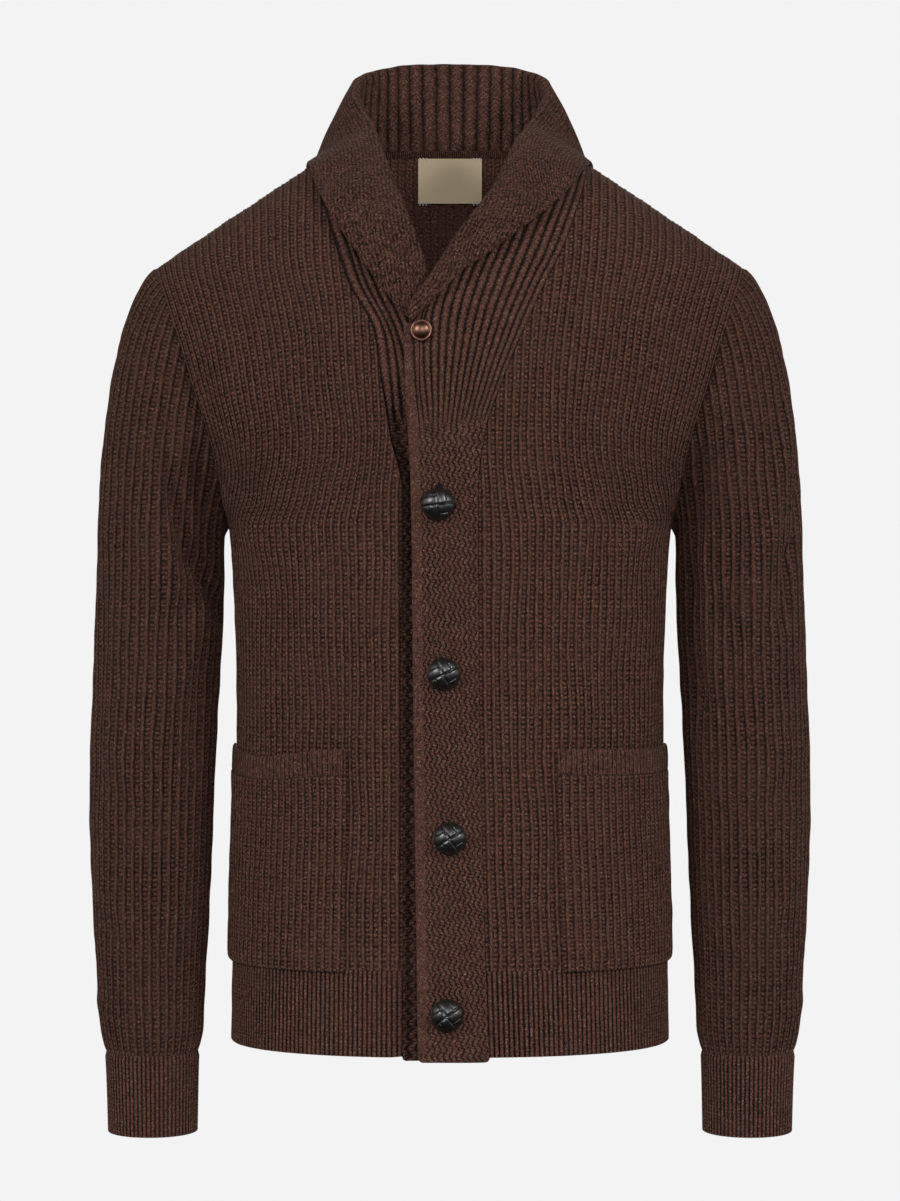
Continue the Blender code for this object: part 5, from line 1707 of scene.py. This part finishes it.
def buttonhole(number, spot, finish):
    """A dark flat patch in the band under a button, at its buttonhole: painted shade in the slit."""
    bpy.ops.mesh.primitive_uv_sphere_add(segments=24, ring_count=12, radius=1.0 * MM)
    piece = new_piece(f"buttonhole_{number}", finish)
    for vertex in piece.data.vertices:
        vertex.co.x *= HOLE_SIZE[0]
        vertex.co.y *= HOLE_SIZE[1]
        vertex.co.z *= HOLE_SIZE[2]
    piece.data.shade_smooth()
    settle(piece, *seat_on_band(spot, HOLE_SEAT))
    return piece


# ------------------------------------------------------------------ operators


def select_none():
    for item in bpy.context.selected_objects:
        item.select_set(False)


class CARDIGAN_OT_body(bpy.types.Operator):
    """Knits the back and the two fronts with their fine ribbed hem"""

    bl_idname = "cardigan.body"
    bl_label = "Body and hem"

    def execute(self, context):
        rib = knit_wool("body_rib", rib_stitch)
        welt = knit_wool("fine_rib", welt_stitch, bump=0.8)
        back = back_panel(rib)
        back_share = np.linspace(-side_share(), side_share(), FINE_STEP * HEM_BACK_RIBS + 1)
        back_hem = hem("hem_back", back_share, False, HEM_BACK_RIBS, welt)
        for side, facing in SIDES:
            panel = front_panel(side, facing, rib)
            share = np.linspace(first_share(side), side_share(), FINE_STEP * HEM_FRONT_RIBS + 1)
            name = f"hem_front_{side}"
            front_hem = hem(name, share, True, HEM_FRONT_RIBS, welt, side, facing)
        return {"FINISHED"}


class CARDIGAN_OT_sleeves(bpy.types.Operator):
    """Knits the sleeves and their cuffs"""

    bl_idname = "cardigan.sleeves"
    bl_label = "Sleeves and cuffs"

    def execute(self, context):
        # The sleeves' wool is the body's rib drawn darker: painted shade.
        shaded_arm_rib = knit_wool("sleeve_rib", rib_stitch, light=0.95, tone=0.78)
        welt = bpy.data.materials["fine_rib"]
        for side, facing in SIDES:
            tube = sleeve(side, facing, shaded_arm_rib)
            end = cuff(side, facing, welt)
        return {"FINISHED"}


class CARDIGAN_OT_bands(bpy.types.Operator):
    """Knits the button band and the underlap"""

    bl_idname = "cardigan.bands"
    bl_label = "Bands"

    def execute(self, context):
        finish = wool("herringbone", herringbone_stitch, bump=1.1)
        right = band("right", 1.0, band_lift, RIGHT_LAPEL, BAND_RIBS, BAND_COLUMNS, finish)
        # The underlap's wool carries painted shade on its lower part, deep behind the button band.
        deep = wool("underlap_herringbone", underlap_painted_shade_stitch, bump=1.1)
        left = band("left", -1.0, underlap_lift, LEFT_LAPEL, UNDERLAP_RIBS, UNDERLAP_COLUMNS, deep)
        return {"FINISHED"}


class CARDIGAN_OT_collar(bpy.types.Operator):
    """Knits the shawl collar"""

    bl_idname = "cardigan.collar"
    bl_label = "Collar"

    def execute(self, context):
        piece = collar(wool("collar_purl", collar_stitch, bump=1.0, tone=0.88))
        return {"FINISHED"}


class CARDIGAN_OT_pockets(bpy.types.Operator):
    """Knits the patch pockets"""

    bl_idname = "cardigan.pockets"
    bl_label = "Pockets"

    def execute(self, context):
        rib = bpy.data.materials["body_rib"]
        for side, facing in SIDES:
            piece = pocket(side, facing, rib)
        return {"FINISHED"}


class CARDIGAN_OT_neck(bpy.types.Operator):
    """Adds the neck tape and the blank label"""

    bl_idname = "cardigan.neck"
    bl_label = "Neck tape and label"

    def execute(self, context):
        tape_finish = knit_wool("tape_rib", welt_stitch, bump=0.3)
        ends = (TAPE_BOTTOM, TAPE_TOP)
        tape = neck_strip("neck_tape_cloth", TAPE_WIDTH, *ends, TAPE_HANG, TAPE_WALL, tape_finish, 61, 7)
        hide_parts("neck_tape")
        ends = (LABEL_BOTTOM, LABEL_TOP)
        label = neck_strip("label_satin_piece", LABEL_WIDTH, *ends, LABEL_HANG, LABEL_WALL, satin(), 41, 29)
        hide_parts("neck_label")
        cotton = thread("label_thread", COTTON)
        for number, points in enumerate(label_stitches(), 1):
            strap_of_points(f"label_stitch_{number}", points, 0.5, cotton)
        return {"FINISHED"}


class CARDIGAN_OT_buttons(bpy.types.Operator):
    """Adds the plaited leather buttons and the press stud"""

    bl_idname = "cardigan.buttons"
    bl_label = "Buttons and press stud"

    def execute(self, context):
        select_none()
        model = button("button_model", leather())
        # The buttonholes are dark patches of painted shade.
        hole = thread("buttonhole_shade", HOLE_SHADE)
        for number, (spot, turn) in enumerate(zip(BUTTONS, BUTTON_TURNS), 1):
            piece = model.copy()
            piece.data = model.data.copy()
            piece.name = piece.data.name = f"button_{number}_leather"
            context.scene.collection.objects.link(piece)
            settle(piece, *seat_on_band(spot, BUTTON_SEAT), turn)
            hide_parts(f"button_{number}")
            select_none()
            place = Spot(spot.x + HOLE_SHIFT[number - 1], spot.height + HOLE_RISE[number - 1])
            buttonhole(number, place, hole)
        bpy.data.objects.remove(model)
        select_none()
        cap = snap_cap(copper())
        settle(cap, *seat_on_band(SNAP, BUTTON_SEAT))
        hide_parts("snap")
        return {"FINISHED"}


class CARDIGAN_OT_stage(bpy.types.Operator):
    """Adds the pale studio, its lights and the camera"""

    bl_idname = "cardigan.stage"
    bl_label = "Studio"

    def execute(self, context):
        studio = context.scene.cardigan_studio
        bpy.ops.object.camera_add(location=(0, -studio.distance, studio.height), rotation=(math.pi / 2, 0, 0))
        camera = context.object
        camera.data.sensor_fit = "AUTO"
        camera.data.angle = 2 * math.atan(studio.view_height / 2 / studio.distance)
        context.scene.camera = camera
        context.scene.view_settings.view_transform = "Standard"
        for name, place, size, power in LIGHTS:
            bpy.ops.object.light_add(type="AREA", location=place)
            light = context.object
            light.name = name
            light.data.size = size
            light.data.energy = getattr(studio, power)
            away = np.array(place) - np.array(LIGHT_TARGET)
            flat = math.hypot(away[0], away[1])
            light.rotation_euler = (math.atan2(flat, away[2]), 0, math.atan2(away[0], -away[1]))
        bpy.ops.mesh.primitive_circle_add(
            vertices=96, radius=FLOOR_RADIUS, fill_type="NGON", location=(0, 0, FLOOR_Z)
        )
        floor = context.object
        floor.name = "floor"
        floor.visible_glossy = False
        card = Finish("floor_paper", Roughness=0.9, Base_Color=FLOOR_COLOUR)
        floor.data.materials.append(card.material)
        bpy.ops.mesh.primitive_uv_sphere_add(segments=48, ring_count=24, radius=BACKDROP_RADIUS)
        backdrop = context.object
        backdrop.name = "backdrop"
        paper = Finish("backdrop_paper", Base_Color=BLACK, Specular_IOR_Level=0.0)
        paper.shader.inputs["Emission Color"].default_value = WHITE
        paper.shader.inputs["Emission Strength"].default_value = studio.paper
        backdrop.data.materials.append(paper.material)
        for kind in ("visible_diffuse", "visible_glossy", "visible_transmission", "visible_shadow"):
            setattr(backdrop, kind, False)
        world = bpy.data.worlds.new("studio")
        world.use_nodes = True
        world.cycles_visibility.glossy = False
        context.scene.world = world
        sky = world.node_tree.nodes["Background"]
        sky.inputs["Color"].default_value = WHITE
        sky.inputs["Strength"].default_value = studio.sky
        return {"FINISHED"}


SIDES = (("right", 1.0), ("left", -1.0))


class CARDIGAN_PT_panel(bpy.types.Panel):
    """Lists the cardigan's pieces in the 3D view's sidebar"""

    bl_label = "Cardigan"
    bl_idname = "CARDIGAN_PT_panel"
    bl_space_type = "VIEW_3D"
    bl_region_type = "UI"
    bl_category = "Cardigan"

    def draw(self, context):
        for kind in OPERATORS:
            self.layout.operator(kind.bl_idname)
        for group in (context.scene.cardigan_knit, context.scene.cardigan_colours):
            for name in group.__annotations__:
                self.layout.prop(group, name)


GROUPS = {
    "cardigan_knit": CardiganKnit,
    "cardigan_colours": CardiganColours,
    "cardigan_studio": CardiganStudio,
}
OPERATORS = (
    CARDIGAN_OT_body,
    CARDIGAN_OT_sleeves,
    CARDIGAN_OT_bands,
    CARDIGAN_OT_collar,
    CARDIGAN_OT_pockets,
    CARDIGAN_OT_neck,
    CARDIGAN_OT_buttons,
    CARDIGAN_OT_stage,
)


def register():
    for kind in (*GROUPS.values(), *OPERATORS, CARDIGAN_PT_panel):
        bpy.utils.register_class(kind)
    for name, kind in GROUPS.items():
        setattr(bpy.types.Scene, name, PointerProperty(type=kind))


def unregister():
    for name in GROUPS:
        delattr(bpy.types.Scene, name)
    for kind in (CARDIGAN_PT_panel, *reversed(OPERATORS), *GROUPS.values()):
        bpy.utils.unregister_class(kind)


def main():
    register()
    bpy.ops.cardigan.body()
    bpy.ops.cardigan.sleeves()
    bpy.ops.cardigan.bands()
    bpy.ops.cardigan.collar()
    bpy.ops.cardigan.pockets()
    bpy.ops.cardigan.neck()
    bpy.ops.cardigan.buttons()
    bpy.ops.cardigan.stage()


if __name__ == "__main__":
    main()
